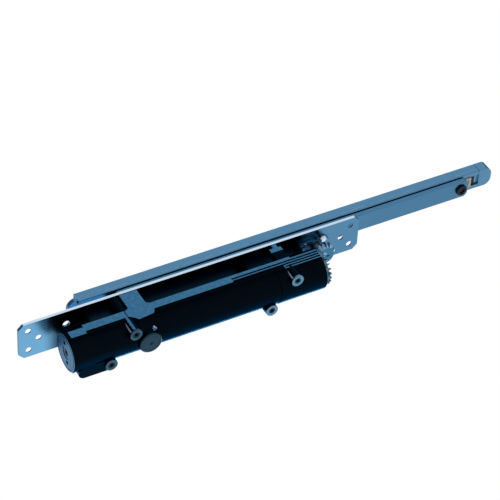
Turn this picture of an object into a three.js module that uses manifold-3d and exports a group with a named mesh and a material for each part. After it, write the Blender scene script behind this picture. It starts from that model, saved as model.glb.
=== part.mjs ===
// Concealed cam-action door closer with its arm and slide channel.
// Millimetres. The origin is on the spindle's axis at the mounting plate's top face,
// +Z is up along the spindle and +X points at the arm's free end, with the door shut.

import * as THREE from "three";
import { mergeVertices } from "three/addons/utils/BufferGeometryUtils.js";
import Module from "manifold-3d";

const wasm = await Module();
wasm.setup();

// ---------------------------------------------------------------- driving dimensions

const GAP = 0.3; // between pieces that touch
const RUNNING = 0.05; // radial clearance of a shaft that turns in a bush
const ROUND = 32; // facets of a large round piece
const SMALL_ROUND = 16; // facets of a small one

const PLATE_THICK = 3;
const PLATE_WIDTH = 40;
const PLATE_OVER_LEFT = 37; // past the tube's left end
const PLATE_OVER_RIGHT = 61; // past its right end
const PLATE_CHAMFER = 5;
const PLATE_HOLE_R = 2.8;
const PLATE_HOLE_EDGE = 9.5; // from a plate end to its outer pair of holes
const PLATE_HOLE_STEP = 10; // from the outer pair to the single inner hole
const PLATE_HOLE_SIDE = 11.5; // from the centre line to each of the pair

const BORE_R = 16;
const WALL = 3; // of the tube, outside the bore
const COLLAR_RISE = 0.5; // of the thicker end sections over the tube
const TUBE_DROP = 9; // from the plate's underside to the collars' top
const HOUSING_LEFT = -70;
const HOUSING_RIGHT = 184;
const LEFT_COLLAR = 17;
const RIGHT_COLLAR = 48;
const RAIL_RISE = 0.7; // of the machined side faces over the tube
const RAIL = [-1, 7.3]; // lower and upper edge of a side face, from the tube's axis
const LEFT_RAIL = [-4, 4.3]; // the same on the left end
const RIGHT_RAIL = [-5.5, 5.5]; // the same on the right end
const LEFT_RAIL_LENGTH = 15;
const RIGHT_RAIL_LENGTH = 38;

const SPINDLE_R = 6;
const BUSH_WALL = 2.25;
const TOWER_LEFT = -8;
const TOWER_RIGHT = 9.5;
const TOWER_FILLET = 4;
const TOWER_WALL = 2.4; // round the top bearing
const BOSS_R = 11.2;
const BOSS_DROP = 1.5; // of the lower boss under the tube
const BOTTOM_CAP_THICK = 1.7;

const LUG_R = 6.3;
const LUG_BOSS_GAP = 1.75; // between lug A and the lower boss
const LUG_B = [-38.1, 1]; // along the tube, and which side of it
const LUG_C = [HOUSING_RIGHT - 32.5, -1];
const LUG_D = [HOUSING_RIGHT - 58, 1];
const PAD_LEFT = 7; // of the pad on lug C, from the lug's middle
const PAD_RIGHT = 5;
const SLEEVE_FLANGE = 1.7;
const SLEEVE_NECK_R = 4.2;
const SLEEVE_WALL = 1.2;
const FIXING_R = 2.1;

const ROLLER_R = 6;
const ROLLER_PIN_R = 2.5;
const CAM_THICK = 9;
const CAM_CLEAR = 0.25; // between the cam and its rollers
const CAM_FACETS = 64;
const PISTON_CLEAR = 0.3;
const SPRING_PISTON_LENGTH = 37;
const DAMPING_PISTON_LENGTH = 38;
const SPRING_WIRE_R = 2;
const SPRING_COILS = 10;
const SPRING_SEAT_BACK = 34; // from the tube's right end
const SPRING_SEAT_THICK = 6;
const RETURN_WIRE_R = 1;
const RETURN_COILS = 4;
const COIL_STEPS = 8; // straight lengths in one turn of a spring
const ADJUSTER_R = 5;
const ADJUSTER_TRAVEL = 12;
const SPRING_CAP_LENGTH = 12;

const CROWN_TEETH = 22;
const PINION_TEETH = 16;
const CROWN_PITCH_R = 15;
const CROWN_BACK = 3; // thickness behind the teeth
const TOOTH_DEPTH = 2.7;
const TOOTH_FACE = 4.2; // radial length of a crown tooth
const TOOTH_SHARE = 0.32; // of the pitch that a tooth fills at half its height
const MESH_CLEAR = 0.45;
const PINION_DROP = 12.5; // from the plate's top to the pinion's teeth
const PINION_FACE = 7;
const PINION_BEVEL = 3; // height of the bevel on the pinion's lower edge
const PINION_BEVEL_R = 9.4; // of the pinion's lower face
const PINION_HUB_R = 3.7;
const BRACKET_THICK = 3;
const BRACKET_WIDTH = 22;
const BRACKET_CHAMFER = 5;

const ARM_LIFT = 7.2; // of the arm's underside over the plate
const ARM_THICK = 5;
const ARM_WIDTH = 19;
const ARM_REACH = 367; // from spindle to pivot
const ARM_TAIL = 7.6; // past the pivot
const SPIGOT = 8.4; // square top of the spindle
const ARM_SCREW_R = 2.5;
const PIVOT_R = 3.5;
const PIVOT_HEAD_R = 5.8;
const PIVOT_HEAD = 2;

const CHANNEL_LEFT = -40;
const CHANNEL_WIDTH = 21;
const CHANNEL_HEIGHT = 11.6;
const CHANNEL_LIFT = 1.4; // over the arm
const CHANNEL_WALL = 1.6;
const SLOT_WIDTH = 12;
const END_LENGTH = 15;
const END_CORNER = 8;
const END_SPIGOT = 3.6;
const TONGUE_LENGTH = 10; // of the channel's left end
const TONGUE_CORNER = 9.5;
const TONGUE_THICK = 4.5;
const TONGUE_SPIGOT = 12;
const BLOCK_LENGTH = 30;
const BLOCK_OVERRUN = 2.9; // from the block to the buffer, door shut
const BUFFER_THICK = 2.2;

// ---------------------------------------------------------------- sizes that follow

const PLATE_UNDER = -PLATE_THICK;
const PLATE_LEFT = HOUSING_LEFT - PLATE_OVER_LEFT;
const PLATE_RIGHT = HOUSING_RIGHT + PLATE_OVER_RIGHT;
const TUBE_R = BORE_R + WALL;
const COLLAR_R = TUBE_R + COLLAR_RISE;
const RAIL_Y = TUBE_R + RAIL_RISE;
const AXIS_Z = PLATE_UNDER - TUBE_DROP - COLLAR_R;
const PISTON_R = BORE_R - PISTON_CLEAR;
const SPRING_SEAT_X = HOUSING_RIGHT - SPRING_SEAT_BACK;
const BUSH_R = SPINDLE_R + RUNNING + BUSH_WALL;
const LUG_Y = PLATE_WIDTH / 2 - LUG_R - 0.1;
const BOSS_Z = AXIS_Z - COLLAR_R - BOSS_DROP + 0.5;
const LUG_Z = AXIS_Z - Math.sqrt(COLLAR_R ** 2 - (LUG_Y - LUG_R) ** 2);
const LUG_A = [-Math.sqrt((BOSS_R + LUG_R + LUG_BOSS_GAP) ** 2 - LUG_Y ** 2), -1];
const PITCH_R = SPINDLE_R + ROLLER_R + 0.5; // from spindle to the spring roller, door shut
const CAM_TIP = Math.sqrt(BORE_R ** 2 - (CAM_THICK / 2) ** 2) - 0.6;
const CAM_LIFT = (CAM_TIP + ROLLER_R - PITCH_R) / Math.PI; // mm of travel for each radian
const SPRING_ROLLER_X = PITCH_R;
const DAMPING_ROLLER_X = -(PITCH_R + CAM_LIFT * Math.PI);
const FORK_OPEN = CAM_THICK / 2 + 0.7;
const FORK_NOSE = ROLLER_PIN_R + 2.8; // of a fork past its roller pin
const SPRING_PISTON_X = SPRING_ROLLER_X - FORK_NOSE;
const DAMPING_PISTON_X = DAMPING_ROLLER_X + FORK_NOSE;
const CROWN_X = HOUSING_RIGHT + GAP + 0.1;
const TOOTH_ROOT_X = CROWN_X + CROWN_BACK;
const PINION_PITCH_R = (CROWN_PITCH_R * PINION_TEETH) / CROWN_TEETH;
const PINION_X = TOOTH_ROOT_X + TOOTH_DEPTH / 2 + PINION_PITCH_R;
const BRACKET_Z = PLATE_UNDER - GAP - BRACKET_THICK;
const ARM_TOP = ARM_LIFT + ARM_THICK;
const CHANNEL_Z = ARM_TOP + CHANNEL_LIFT;
const CHANNEL_TOP = CHANNEL_Z + CHANNEL_HEIGHT;
const CHANNEL_INSIDE = CHANNEL_WIDTH / 2 - CHANNEL_WALL;
const BLOCK_LOW = CHANNEL_Z + CHANNEL_WALL + GAP;
const BLOCK_HIGH = CHANNEL_TOP - CHANNEL_WALL - GAP;
const BUFFER_X = ARM_REACH + BLOCK_LENGTH / 2 + BLOCK_OVERRUN;
const CHANNEL_RIGHT = BUFFER_X + BUFFER_THICK + GAP + END_SPIGOT;
const PLATE_HOLES = [
  [PLATE_LEFT + PLATE_HOLE_EDGE, PLATE_HOLE_SIDE],
  [PLATE_LEFT + PLATE_HOLE_EDGE, -PLATE_HOLE_SIDE],
  [PLATE_LEFT + PLATE_HOLE_EDGE + PLATE_HOLE_STEP, 0],
  [PLATE_RIGHT - PLATE_HOLE_EDGE, PLATE_HOLE_SIDE],
  [PLATE_RIGHT - PLATE_HOLE_EDGE, -PLATE_HOLE_SIDE],
  [PLATE_RIGHT - PLATE_HOLE_EDGE - PLATE_HOLE_STEP, 0],
];
const LUGS = { a: LUG_A, b: LUG_B, c: LUG_C, d: LUG_D };
const VALVES = {
  closing_speed_valve: [HOUSING_LEFT + 10, -5],
  latching_speed_valve: [HOUSING_LEFT + 22, 5],
};
const VALVE_R = 2.6;
const VALVE_PAD = [HOUSING_LEFT + 3, HOUSING_LEFT + 29];
const VALVE_PAD_SIDE = 10; // half the pad's width
const VALVE_PAD_Z = AXIS_Z + COLLAR_R + 2;
const VALVE_FOOT_Z = AXIS_Z + BORE_R + 0.3;

// ---------------------------------------------------------------- finishes

const finish = (color, metalness, roughness) => () =>
  new THREE.MeshStandardMaterial({ color, metalness, roughness });

const bareSteel = finish(0x6f93bd, 0.9, 0.35);
const castBody = finish(0x10161f, 0.3, 0.45);
const machined = finish(0x4e78a8, 0.7, 0.5);
const brightSteel = finish(0xb9c9dc, 1, 0.25);
const blackSteel = finish(0x0b0e14, 0.7, 0.35);
const springSteel = finish(0x35404f, 0.9, 0.4);
const bronze = finish(0x8f7a4c, 0.9, 0.4);
const rubber = finish(0x0a0a0c, 0, 0.8);
const blockPlastic = finish(0xb7ab8c, 0, 0.5);

// ---------------------------------------------------------------- solids

/** A closed geometry as a solid that can be joined to others and cut. */
function solid(geometry) {
  const bare = geometry.index ? geometry.toNonIndexed() : geometry.clone();
  bare.deleteAttribute("normal");
  bare.deleteAttribute("uv");
  const merged = mergeVertices(bare, 1e-4);
  const corners = merged.index.array;
  const kept = [];
  for (let i = 0; i < corners.length; i += 3) {
    const [a, b, c] = corners.subarray(i, i + 3);
    if (a !== b && b !== c && c !== a) kept.push(a, b, c);
  }
  return new wasm.Manifold(
    new wasm.Mesh({
      numProp: 3,
      vertProperties: merged.attributes.position.array,
      triVerts: new Uint32Array(kept),
    }),
  );
}

const join = (first, ...others) => others.reduce((all, one) => all.add(one), first);
const cut = (first, ...others) => others.reduce((all, one) => all.subtract(one), first);

/** A mesh for a solid, named and placed in a group. */
function put(group, name, shape, makeFinish, place = [0, 0, 0]) {
  const { vertProperties, triVerts } = shape.getMesh();
  const geometry = new THREE.BufferGeometry();
  geometry.setAttribute("position", new THREE.BufferAttribute(vertProperties, 3));
  geometry.setIndex(new THREE.BufferAttribute(triVerts, 1));
  geometry.computeVertexNormals();
  const mesh = new THREE.Mesh(geometry, makeFinish());
  mesh.name = name;
  mesh.position.set(...place);
  group.add(mesh);
}

function box([x0, x1], [y0, y1], [z0, z1]) {
  const block = new THREE.BoxGeometry(x1 - x0, y1 - y0, z1 - z0);
  block.translate((x0 + x1) / 2, (y0 + y1) / 2, (z0 + z1) / 2);
  return solid(block);
}

/** An upright cylinder. */
function post(x, y, radius, z0, z1, facets = SMALL_ROUND) {
  const cylinder = new THREE.CylinderGeometry(radius, radius, z1 - z0, facets);
  cylinder.rotateX(Math.PI / 2);
  cylinder.translate(x, y, (z0 + z1) / 2);
  return solid(cylinder);
}

/** A cylinder lying along the tube. */
function rod(x0, x1, radius, y = 0, z = AXIS_Z, facets = ROUND) {
  const cylinder = new THREE.CylinderGeometry(radius, radius, x1 - x0, facets);
  cylinder.rotateZ(-Math.PI / 2);
  cylinder.translate((x0 + x1) / 2, y, z);
  return solid(cylinder);
}

/** A turned piece: its profile is [radius, height] points, in order round the section. */
function turned(profile, facets) {
  const points = profile.map(([radius, height]) => new THREE.Vector2(radius, height));
  if (THREE.ShapeUtils.area(points) < 0) points.reverse();
  if (points[0].x > 0) points.push(points[0].clone());
  return new THREE.LatheGeometry(points, facets);
}

/** A turned piece standing on its axis. */
function upright(profile, facets = ROUND) {
  return solid(turned(profile, facets).rotateX(Math.PI / 2));
}

/** A turned piece on the tube's axis, its heights measured along +X. */
function onTube(profile, facets = ROUND) {
  return solid(turned(profile, facets).rotateZ(-Math.PI / 2).translate(0, 0, AXIS_Z));
}

/** An outline in the XY plane, drawn up from z0 to z1. */
function slab(outline, z0, z1, curveSegments = 8) {
  const depth = z1 - z0;
  const drawn = new THREE.ExtrudeGeometry(outline, { depth, curveSegments, bevelEnabled: false });
  return solid(drawn.translate(0, 0, z0));
}

/** An outline of [x, z] points or a shape, drawn across the tube from y0 to y1. */
function crosswise(outline, y0, y1, curveSegments = 8) {
  const depth = y1 - y0;
  const drawn = new THREE.ExtrudeGeometry(outline, { depth, curveSegments, bevelEnabled: false });
  return solid(drawn.rotateX(Math.PI / 2).translate(0, y1, 0));
}

const polygon = (points) => new THREE.Shape(points.map(([x, y]) => new THREE.Vector2(x, y)));

function regular(sides, radius, turn = 0) {
  const corner = (i) => {
    const angle = turn + (i * 2 * Math.PI) / sides;
    return [radius * Math.cos(angle), radius * Math.sin(angle)];
  };
  return polygon(Array.from({ length: sides }, (_, i) => corner(i)));
}

/** A hexagon socket, measured across its corners. */
const hexSocket = (radius, z0, z1) => slab(regular(6, radius), z0, z1);

/** A hole for a countersunk screw, its wide end at the top. */
function countersunk(holeR, headR, z0, z1) {
  const cone = headR - holeR;
  return upright([
    [0, z0 - 1], [holeR, z0 - 1], [holeR, z1 - cone], [headR, z1], [headR, z1 + 1], [0, z1 + 1],
  ], SMALL_ROUND);
}

/** A countersunk screw with a hexagon socket, its head's face at z1. */
function countersunkScrew(shankR, headR, z0, z1) {
  const cone = headR - shankR;
  const body = upright([[0, z0], [shankR, z0], [shankR, z1 - cone], [headR, z1], [0, z1]], SMALL_ROUND);
  return cut(body, hexSocket(shankR * 0.85, z1 - cone, z1 + 1));
}

/** A ring standing on its axis. */
function ring(innerR, outerR, z0, z1, facets = ROUND) {
  return upright([[innerR, z0], [outerR, z0], [outerR, z1], [innerR, z1]], facets);
}

/** Round wire wound along the tube's axis, its ends inside x0 and x1. */
class Winding extends THREE.Curve {
  constructor(x0, x1, radius, coils) {
    super();
    Object.assign(this, { x0, x1, radius, coils });
  }

  getPoint(t, target = new THREE.Vector3()) {
    const angle = 2 * Math.PI * this.coils * t;
    const x = this.x0 + (this.x1 - this.x0) * t;
    return target.set(x, this.radius * Math.cos(angle), AXIS_Z + this.radius * Math.sin(angle));
  }
}

function spring(x0, x1, radius, wireR, coils) {
  const path = new Winding(x0 + wireR, x1 - wireR, radius, coils);
  const section = regular(6, wireR);
  const steps = coils * COIL_STEPS;
  return solid(new THREE.ExtrudeGeometry(section, { steps, extrudePath: path, bevelEnabled: false }));
}

// ---------------------------------------------------------------- groups

const closer = new THREE.Group();
const fixed = new THREE.Group();
const adjuster = new THREE.Group();
const hydraulics = new THREE.Group();
const swing = new THREE.Group();
const track = new THREE.Group();
closer.add(fixed, adjuster, hydraulics, swing, track);

// ---------------------------------------------------------------- mounting plate

const FIXING_HEAD_R = FIXING_R + 2.3;
const SPINDLE_OPENING_R = BUSH_R + 1.5;
const BRACKET_SCREWS = [[HOUSING_RIGHT + 1, -7.5], [HOUSING_RIGHT + 1, 7.5]];

function mountingPlate() {
  const half = PLATE_WIDTH / 2;
  const c = PLATE_CHAMFER;
  const outline = polygon([
    [PLATE_LEFT + c, -half], [PLATE_RIGHT - c, -half],
    [PLATE_RIGHT, c - half], [PLATE_RIGHT, half - c],
    [PLATE_RIGHT - c, half], [PLATE_LEFT + c, half],
    [PLATE_LEFT, half - c], [PLATE_LEFT, c - half],
  ]);
  const sheet = slab(outline, PLATE_UNDER, 0);
  const doorHoles = PLATE_HOLES.map(([x, y]) =>
    countersunk(PLATE_HOLE_R, PLATE_HOLE_R + 2, PLATE_UNDER, 0).translate(x, y, 0));
  const lugHoles = Object.values(LUGS).map(([x, side]) =>
    countersunk(FIXING_R + GAP, FIXING_HEAD_R + GAP, PLATE_UNDER, 0).translate(x, side * LUG_Y, 0));
  const bracketHoles = BRACKET_SCREWS.map(([x, y]) =>
    countersunk(FIXING_R + GAP, FIXING_HEAD_R + GAP, PLATE_UNDER, 0).translate(x, y, 0));
  const keyHoles = Object.values(VALVES).map(([x, y]) =>
    post(x, y, VALVE_R + 1, PLATE_UNDER - 1, 1));
  const spindleHole = post(0, 0, SPINDLE_OPENING_R, PLATE_UNDER - 1, 1, ROUND);
  const pinionHole = post(PINION_X, 0, PINION_HUB_R + 0.9, PLATE_UNDER - 1, 1);
  return cut(sheet, ...doorHoles, ...lugHoles, ...bracketHoles, ...keyHoles, spindleHole, pinionHole);
}

put(fixed, "mounting_plate", mountingPlate(), bareSteel);

// ---------------------------------------------------------------- housing

const LUG_TOP = PLATE_UNDER - GAP;
const boreHeight = (y) => Math.sqrt(BORE_R ** 2 - y ** 2);
const SLEEVE_HOLE_TOP = AXIS_Z - boreHeight(LUG_Y - SLEEVE_NECK_R - GAP) - SLEEVE_WALL;
const FIXING_HOLE_Z = AXIS_Z + boreHeight(LUG_Y - FIXING_R - GAP) + 2;
const BUSH_HOLE_R = BUSH_R + GAP;
const BLEED = [6, (-2 / 3) * BORE_R];
const BLEED_R = 2.2;
const BLEED_WALL = 0.6; // between the bleed hole and the bore
const BLEED_TOP = AXIS_Z - boreHeight(BLEED[1] + BLEED_R + GAP) - BLEED_WALL;

/** The neck that carries the spindle's top bearing up to the plate, with the pad under it. */
function tower() {
  const rootZ = AXIS_Z + RAIL[1];
  const railZ = AXIS_Z + RAIL[0];
  const f = TOWER_FILLET;
  const outline = new THREE.Shape();
  outline.moveTo(TOWER_LEFT, LUG_TOP);
  outline.lineTo(TOWER_LEFT, rootZ + f);
  outline.absarc(TOWER_LEFT - f, rootZ + f, f, 0, -Math.PI / 2, true);
  outline.lineTo(TOWER_LEFT - f, railZ);
  outline.lineTo(TOWER_LEFT, railZ - 3.5);
  outline.lineTo(TOWER_LEFT + 3, railZ - 7);
  outline.lineTo(TOWER_RIGHT + 1, railZ - 5.2);
  outline.lineTo(TOWER_RIGHT + f, railZ);
  outline.lineTo(TOWER_RIGHT + f, rootZ);
  outline.absarc(TOWER_RIGHT + f, rootZ + f, f, -Math.PI / 2, Math.PI, true);
  outline.lineTo(TOWER_RIGHT, LUG_TOP);
  const neck = crosswise(outline, -RAIL_Y, RAIL_Y, 6);
  return join(neck, post(0, 0, BUSH_HOLE_R + TOWER_WALL, AXIS_Z, LUG_TOP, ROUND));
}

/** The machined face along one side, in three steps. */
function sideRail(side) {
  const across = [side * (TUBE_R - 3), side * RAIL_Y].sort((a, b) => a - b);
  const step = (x0, x1, [low, high]) => box([x0, x1], across, [AXIS_Z + low, AXIS_Z + high]);
  const left = HOUSING_LEFT + LEFT_RAIL_LENGTH;
  const right = HOUSING_RIGHT - RIGHT_RAIL_LENGTH;
  return join(
    step(HOUSING_LEFT, left, LEFT_RAIL),
    step(left, right, RAIL),
    step(right, HOUSING_RIGHT, RIGHT_RAIL),
  );
}

const lug = ([x, side]) => post(x, side * LUG_Y, LUG_R, LUG_Z, LUG_TOP);

/** The long rounded foot under the tube, from lug B to the tube's left end. */
function foot() {
  const [x, side] = LUG_B;
  const y = side * LUG_Y;
  const left = HOUSING_LEFT + LUG_R;
  return join(
    box([left, x], [y - LUG_R, y + LUG_R], [LUG_Z, AXIS_Z]),
    post(left, y, LUG_R, LUG_Z, AXIS_Z, ROUND),
  );
}

function housing() {
  const cornerPad = box(
    [LUG_C[0] - PAD_LEFT, LUG_C[0] + PAD_RIGHT],
    [-RAIL_Y, -LUG_Y],
    [AXIS_Z + RAIL[1] - 2, PLATE_UNDER - 5],
  );
  const solidBody = join(
    rod(HOUSING_LEFT, HOUSING_RIGHT, TUBE_R),
    rod(HOUSING_LEFT, HOUSING_LEFT + LEFT_COLLAR, COLLAR_R),
    rod(HOUSING_RIGHT - RIGHT_COLLAR, HOUSING_RIGHT, COLLAR_R),
    sideRail(-1),
    sideRail(1),
    tower(),
    cornerPad,
    ...Object.values(LUGS).map(lug),
    foot(),
    post(0, 0, BOSS_R, BOSS_Z, AXIS_Z, ROUND),
    box(VALVE_PAD, [-VALVE_PAD_SIDE, VALVE_PAD_SIDE], [AXIS_Z + BORE_R - 2, VALVE_PAD_Z]),
  );
  const bores = [
    rod(HOUSING_LEFT - 1, HOUSING_RIGHT + 1, BORE_R),
    post(0, 0, BUSH_HOLE_R, AXIS_Z, 1, ROUND),
    post(0, 0, BUSH_HOLE_R, BOSS_Z - 1, AXIS_Z, ROUND),
    post(BLEED[0], BLEED[1], BLEED_R + GAP, BOSS_Z, BLEED_TOP),
  ];
  const lugHoles = Object.values(LUGS).flatMap(([x, side]) => [
    post(x, side * LUG_Y, SLEEVE_NECK_R + GAP, LUG_Z - 5, SLEEVE_HOLE_TOP),
    post(x, side * LUG_Y, FIXING_R + GAP, FIXING_HOLE_Z, 1),
  ]);
  const valveHoles = Object.values(VALVES).map(([x, y]) =>
    post(x, y, VALVE_R + GAP, VALVE_FOOT_Z, VALVE_PAD_Z + 1));
  return cut(solidBody, ...bores, ...lugHoles, ...valveHoles);
}

put(fixed, "housing", housing(), castBody);

// ---------------------------------------------------------------- end cap and its plugs

const CAP_X = HOUSING_LEFT - 4;
const CAP_FLANGE_X = HOUSING_LEFT - GAP;
const CAP_PLUG_X = HOUSING_LEFT + 3;
const CAP_PLUG_R = BORE_R - GAP;
const CAP_GROOVE_R = CAP_PLUG_R - 2;
const FILLER_R = 3.1;
const SPANNER_R = 10.3; // from the cap's middle to its two spanner holes
const SPANNER_TURN = -0.26; // of the pair of holes, in radians

function endCap() {
  const body = onTube([
    [0, CAP_X], [COLLAR_R - 1, CAP_X], [COLLAR_R, CAP_X + 1], [COLLAR_R, CAP_FLANGE_X],
    [CAP_PLUG_R, CAP_FLANGE_X], [CAP_PLUG_R, CAP_FLANGE_X + 0.7],
    [CAP_GROOVE_R, CAP_FLANGE_X + 0.7], [CAP_GROOVE_R, CAP_FLANGE_X + 2.5],
    [CAP_PLUG_R, CAP_FLANGE_X + 2.5], [CAP_PLUG_R, CAP_PLUG_X], [0, CAP_PLUG_X],
  ]);
  const across = SPANNER_R * Math.cos(SPANNER_TURN);
  const rise = SPANNER_R * Math.sin(SPANNER_TURN);
  const spannerHoles = [-1, 1].map((side) =>
    rod(CAP_X - 1, CAP_X + 3, 1.8, side * across, AXIS_Z + side * rise, SMALL_ROUND));
  const fillerHole = rod(CAP_X - 1, CAP_X + 5, FILLER_R + GAP, 0, AXIS_Z, SMALL_ROUND);
  return cut(body, fillerHole, ...spannerHoles);
}

function fillerPlug() {
  const plug = rod(CAP_X + 0.4, CAP_X + 4.7, FILLER_R, 0, AXIS_Z, SMALL_ROUND);
  const socket = solid(new THREE.ExtrudeGeometry(regular(6, 1.7), { depth: 3, bevelEnabled: false })
    .rotateY(Math.PI / 2).translate(CAP_X - 1, 0, AXIS_Z));
  return cut(plug, socket);
}

const CAP_SEAL = [
  [CAP_GROOVE_R + GAP, CAP_FLANGE_X + 1], [BORE_R - GAP, CAP_FLANGE_X + 1],
  [BORE_R - GAP, CAP_FLANGE_X + 2.2], [CAP_GROOVE_R + GAP, CAP_FLANGE_X + 2.2],
];

put(fixed, "end_cap", endCap(), machined);
put(fixed, "end_cap_seal", onTube(CAP_SEAL), rubber);
put(fixed, "filler_plug", fillerPlug(), blackSteel);

// ---------------------------------------------------------------- spindle bearings and seals

const SEAL_TOP = PLATE_UNDER - 0.5;
const SEAL_LOW = SEAL_TOP - 2;
const TOWER_FLOOR = AXIS_Z + BORE_R + 0.4;
const BUSH_INNER_R = SPINDLE_R + RUNNING;
const LOWER_BUSH_TOP = AXIS_Z - BORE_R - 0.3;
const SPINDLE_FOOT = BOSS_Z + 1.2;

function bottomCap() {
  const low = BOSS_Z - GAP - BOTTOM_CAP_THICK;
  const disc = upright([
    [0, low], [BOSS_R - 1, low], [BOSS_R - 0.2, low + 0.8], [BOSS_R - 0.2, BOSS_Z - GAP],
    [BUSH_R, BOSS_Z - GAP], [BUSH_R, BOSS_Z + 0.3], [0, BOSS_Z + 0.3],
  ]);
  return cut(disc, hexSocket(1.6, low - 1, low + 0.8));
}

put(fixed, "spindle_seal", ring(SPINDLE_R + 0.2, BUSH_R, SEAL_LOW, SEAL_TOP), rubber);
put(fixed, "top_bearing", ring(BUSH_INNER_R, BUSH_R, TOWER_FLOOR, SEAL_LOW - GAP), bronze);
put(fixed, "bottom_bearing", ring(BUSH_INNER_R, BUSH_R, BOSS_Z + 0.6, LOWER_BUSH_TOP), bronze);
put(fixed, "bottom_cap", bottomCap(), machined);

// ---------------------------------------------------------------- fixings of the housing

function fixingScrew() {
  return countersunkScrew(FIXING_R, FIXING_HEAD_R, FIXING_HOLE_Z + GAP, -0.1);
}

const SLEEVE_HOLE_R = SLEEVE_NECK_R - 1.2;

/** Flanged steel sleeve in a lug's lower end. */
function lugSleeve() {
  const low = LUG_Z - GAP - SLEEVE_FLANGE;
  return upright([
    [SLEEVE_HOLE_R, low + 0.4], [SLEEVE_HOLE_R + 0.4, low],
    [LUG_R - 0.6, low], [LUG_R - 0.1, low + 0.5],
    [LUG_R - 0.1, LUG_Z - GAP], [SLEEVE_NECK_R, LUG_Z - GAP],
    [SLEEVE_NECK_R, SLEEVE_HOLE_TOP - GAP], [SLEEVE_HOLE_R, SLEEVE_HOLE_TOP - GAP],
  ], 24);
}

function sleeveScrew() {
  const low = LUG_Z - GAP - SLEEVE_FLANGE + 0.5;
  const body = post(0, 0, SLEEVE_HOLE_R - GAP, low, SLEEVE_HOLE_TOP - GAP);
  return cut(body, hexSocket(1.9, low - 1, low + 2.4));
}

for (const [mark, [x, side]] of Object.entries(LUGS)) {
  const place = [x, side * LUG_Y, 0];
  put(fixed, `fixing_screw_${mark}`, fixingScrew(), brightSteel, place);
  put(fixed, `lug_sleeve_${mark}`, lugSleeve(), brightSteel, place);
  put(fixed, `sleeve_screw_${mark}`, sleeveScrew(), blackSteel, place);
}

const bleedPlug = cut(
  post(0, 0, BLEED_R, BLEED_TOP - 2.6, BLEED_TOP - GAP),
  hexSocket(1.2, BLEED_TOP - 4, BLEED_TOP - 1.4),
);
put(fixed, "bleed_plug", bleedPlug, brightSteel, [...BLEED, 0]);

/** Slotted regulating screw of a hydraulic valve. */
function valveScrew() {
  const top = VALVE_PAD_Z + 0.8;
  const slot = box([-VALVE_R - 1, VALVE_R + 1], [-0.5, 0.5], [top - 1.2, top + 1]);
  return cut(post(0, 0, VALVE_R, VALVE_FOOT_Z + GAP, top), slot);
}

for (const [name, place] of Object.entries(VALVES)) {
  put(hydraulics, name, valveScrew(), brightSteel, [...place, 0]);
}

// ---------------------------------------------------------------- spindle, cam and arm

/** How far the cam reaches in a direction, so that it rolls on both rollers at every angle. */
function camReach(direction) {
  const rollerR = ROLLER_R + CAM_CLEAR;
  const steps = 360;
  let reach = Infinity;
  for (let i = 0; i <= steps; i += 1) {
    const turn = -Math.PI + (2 * Math.PI * i) / steps;
    const distance = PITCH_R + CAM_LIFT * Math.abs(turn);
    const off = Math.atan2(Math.sin(turn - direction), Math.cos(turn - direction));
    const aside = distance * Math.sin(off);
    if (Math.abs(off) < Math.PI / 2 && Math.abs(aside) < rollerR) {
      reach = Math.min(reach, distance * Math.cos(off) - Math.sqrt(rollerR ** 2 - aside ** 2));
    }
  }
  return reach;
}

function camShaft() {
  const camPoint = (i) => {
    const direction = (2 * Math.PI * i) / CAM_FACETS;
    const reach = camReach(direction);
    return [reach * Math.cos(direction), reach * Math.sin(direction)];
  };
  const cam = slab(
    polygon(Array.from({ length: CAM_FACETS }, (_, i) => camPoint(i))),
    AXIS_Z - CAM_THICK / 2,
    AXIS_Z + CAM_THICK / 2,
  );
  const shaft = post(0, 0, SPINDLE_R, SPINDLE_FOOT, ARM_LIFT - GAP, ROUND);
  const half = SPIGOT / 2;
  const spigot = box([-half, half], [-half, half], [ARM_LIFT - 1, ARM_TOP - 2.6]);
  const thread = post(0, 0, ARM_SCREW_R + GAP, PLATE_UNDER - 2, ARM_TOP);
  return cut(join(cam, shaft, spigot), thread);
}

const ARM_HEAD_R = ARM_SCREW_R + 3.3;

function arm() {
  const half = ARM_WIDTH / 2;
  const end = ARM_REACH + ARM_TAIL;
  const corner = 3;
  const outline = new THREE.Shape();
  outline.absarc(0, 0, half, Math.PI / 2, (3 * Math.PI) / 2, false);
  outline.lineTo(end - corner, -half);
  outline.lineTo(end, corner - half);
  outline.lineTo(end, half - corner);
  outline.lineTo(end - corner, half);
  const hole = SPIGOT / 2 + GAP;
  return cut(
    slab(outline, ARM_LIFT, ARM_TOP, 14),
    box([-hole, hole], [-hole, hole], [ARM_LIFT - 1, ARM_TOP + 1]),
    post(0, 0, ARM_HEAD_R + GAP, ARM_TOP - 2.4, ARM_TOP + 1),
    post(ARM_REACH, 0, PIVOT_R + GAP, ARM_LIFT - 1, ARM_TOP + 1),
  );
}

function armScrew() {
  const headTop = ARM_TOP - 0.2;
  const headLow = ARM_TOP - 2.2;
  const body = join(
    post(0, 0, ARM_HEAD_R, headLow, headTop),
    post(0, 0, ARM_SCREW_R, PLATE_UNDER - 1, headLow + 0.5),
  );
  return cut(body, hexSocket(2.3, headLow + 0.4, headTop + 1));
}

/** Shoulder screw that carries the slide block on the arm's free end. */
function pivotScrew() {
  const headLow = ARM_LIFT - GAP - PIVOT_HEAD;
  const body = upright([
    [0, headLow], [PIVOT_HEAD_R - 0.5, headLow], [PIVOT_HEAD_R, headLow + 0.5],
    [PIVOT_HEAD_R, ARM_LIFT - GAP], [PIVOT_R, ARM_LIFT - GAP],
    [PIVOT_R, BLOCK_HIGH - 1], [PIVOT_R - 0.6, BLOCK_HIGH - 0.4], [0, BLOCK_HIGH - 0.4],
  ], 32);
  return cut(body, hexSocket(PIVOT_R, headLow - 1, headLow + PIVOT_HEAD * 0.7));
}

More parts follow.
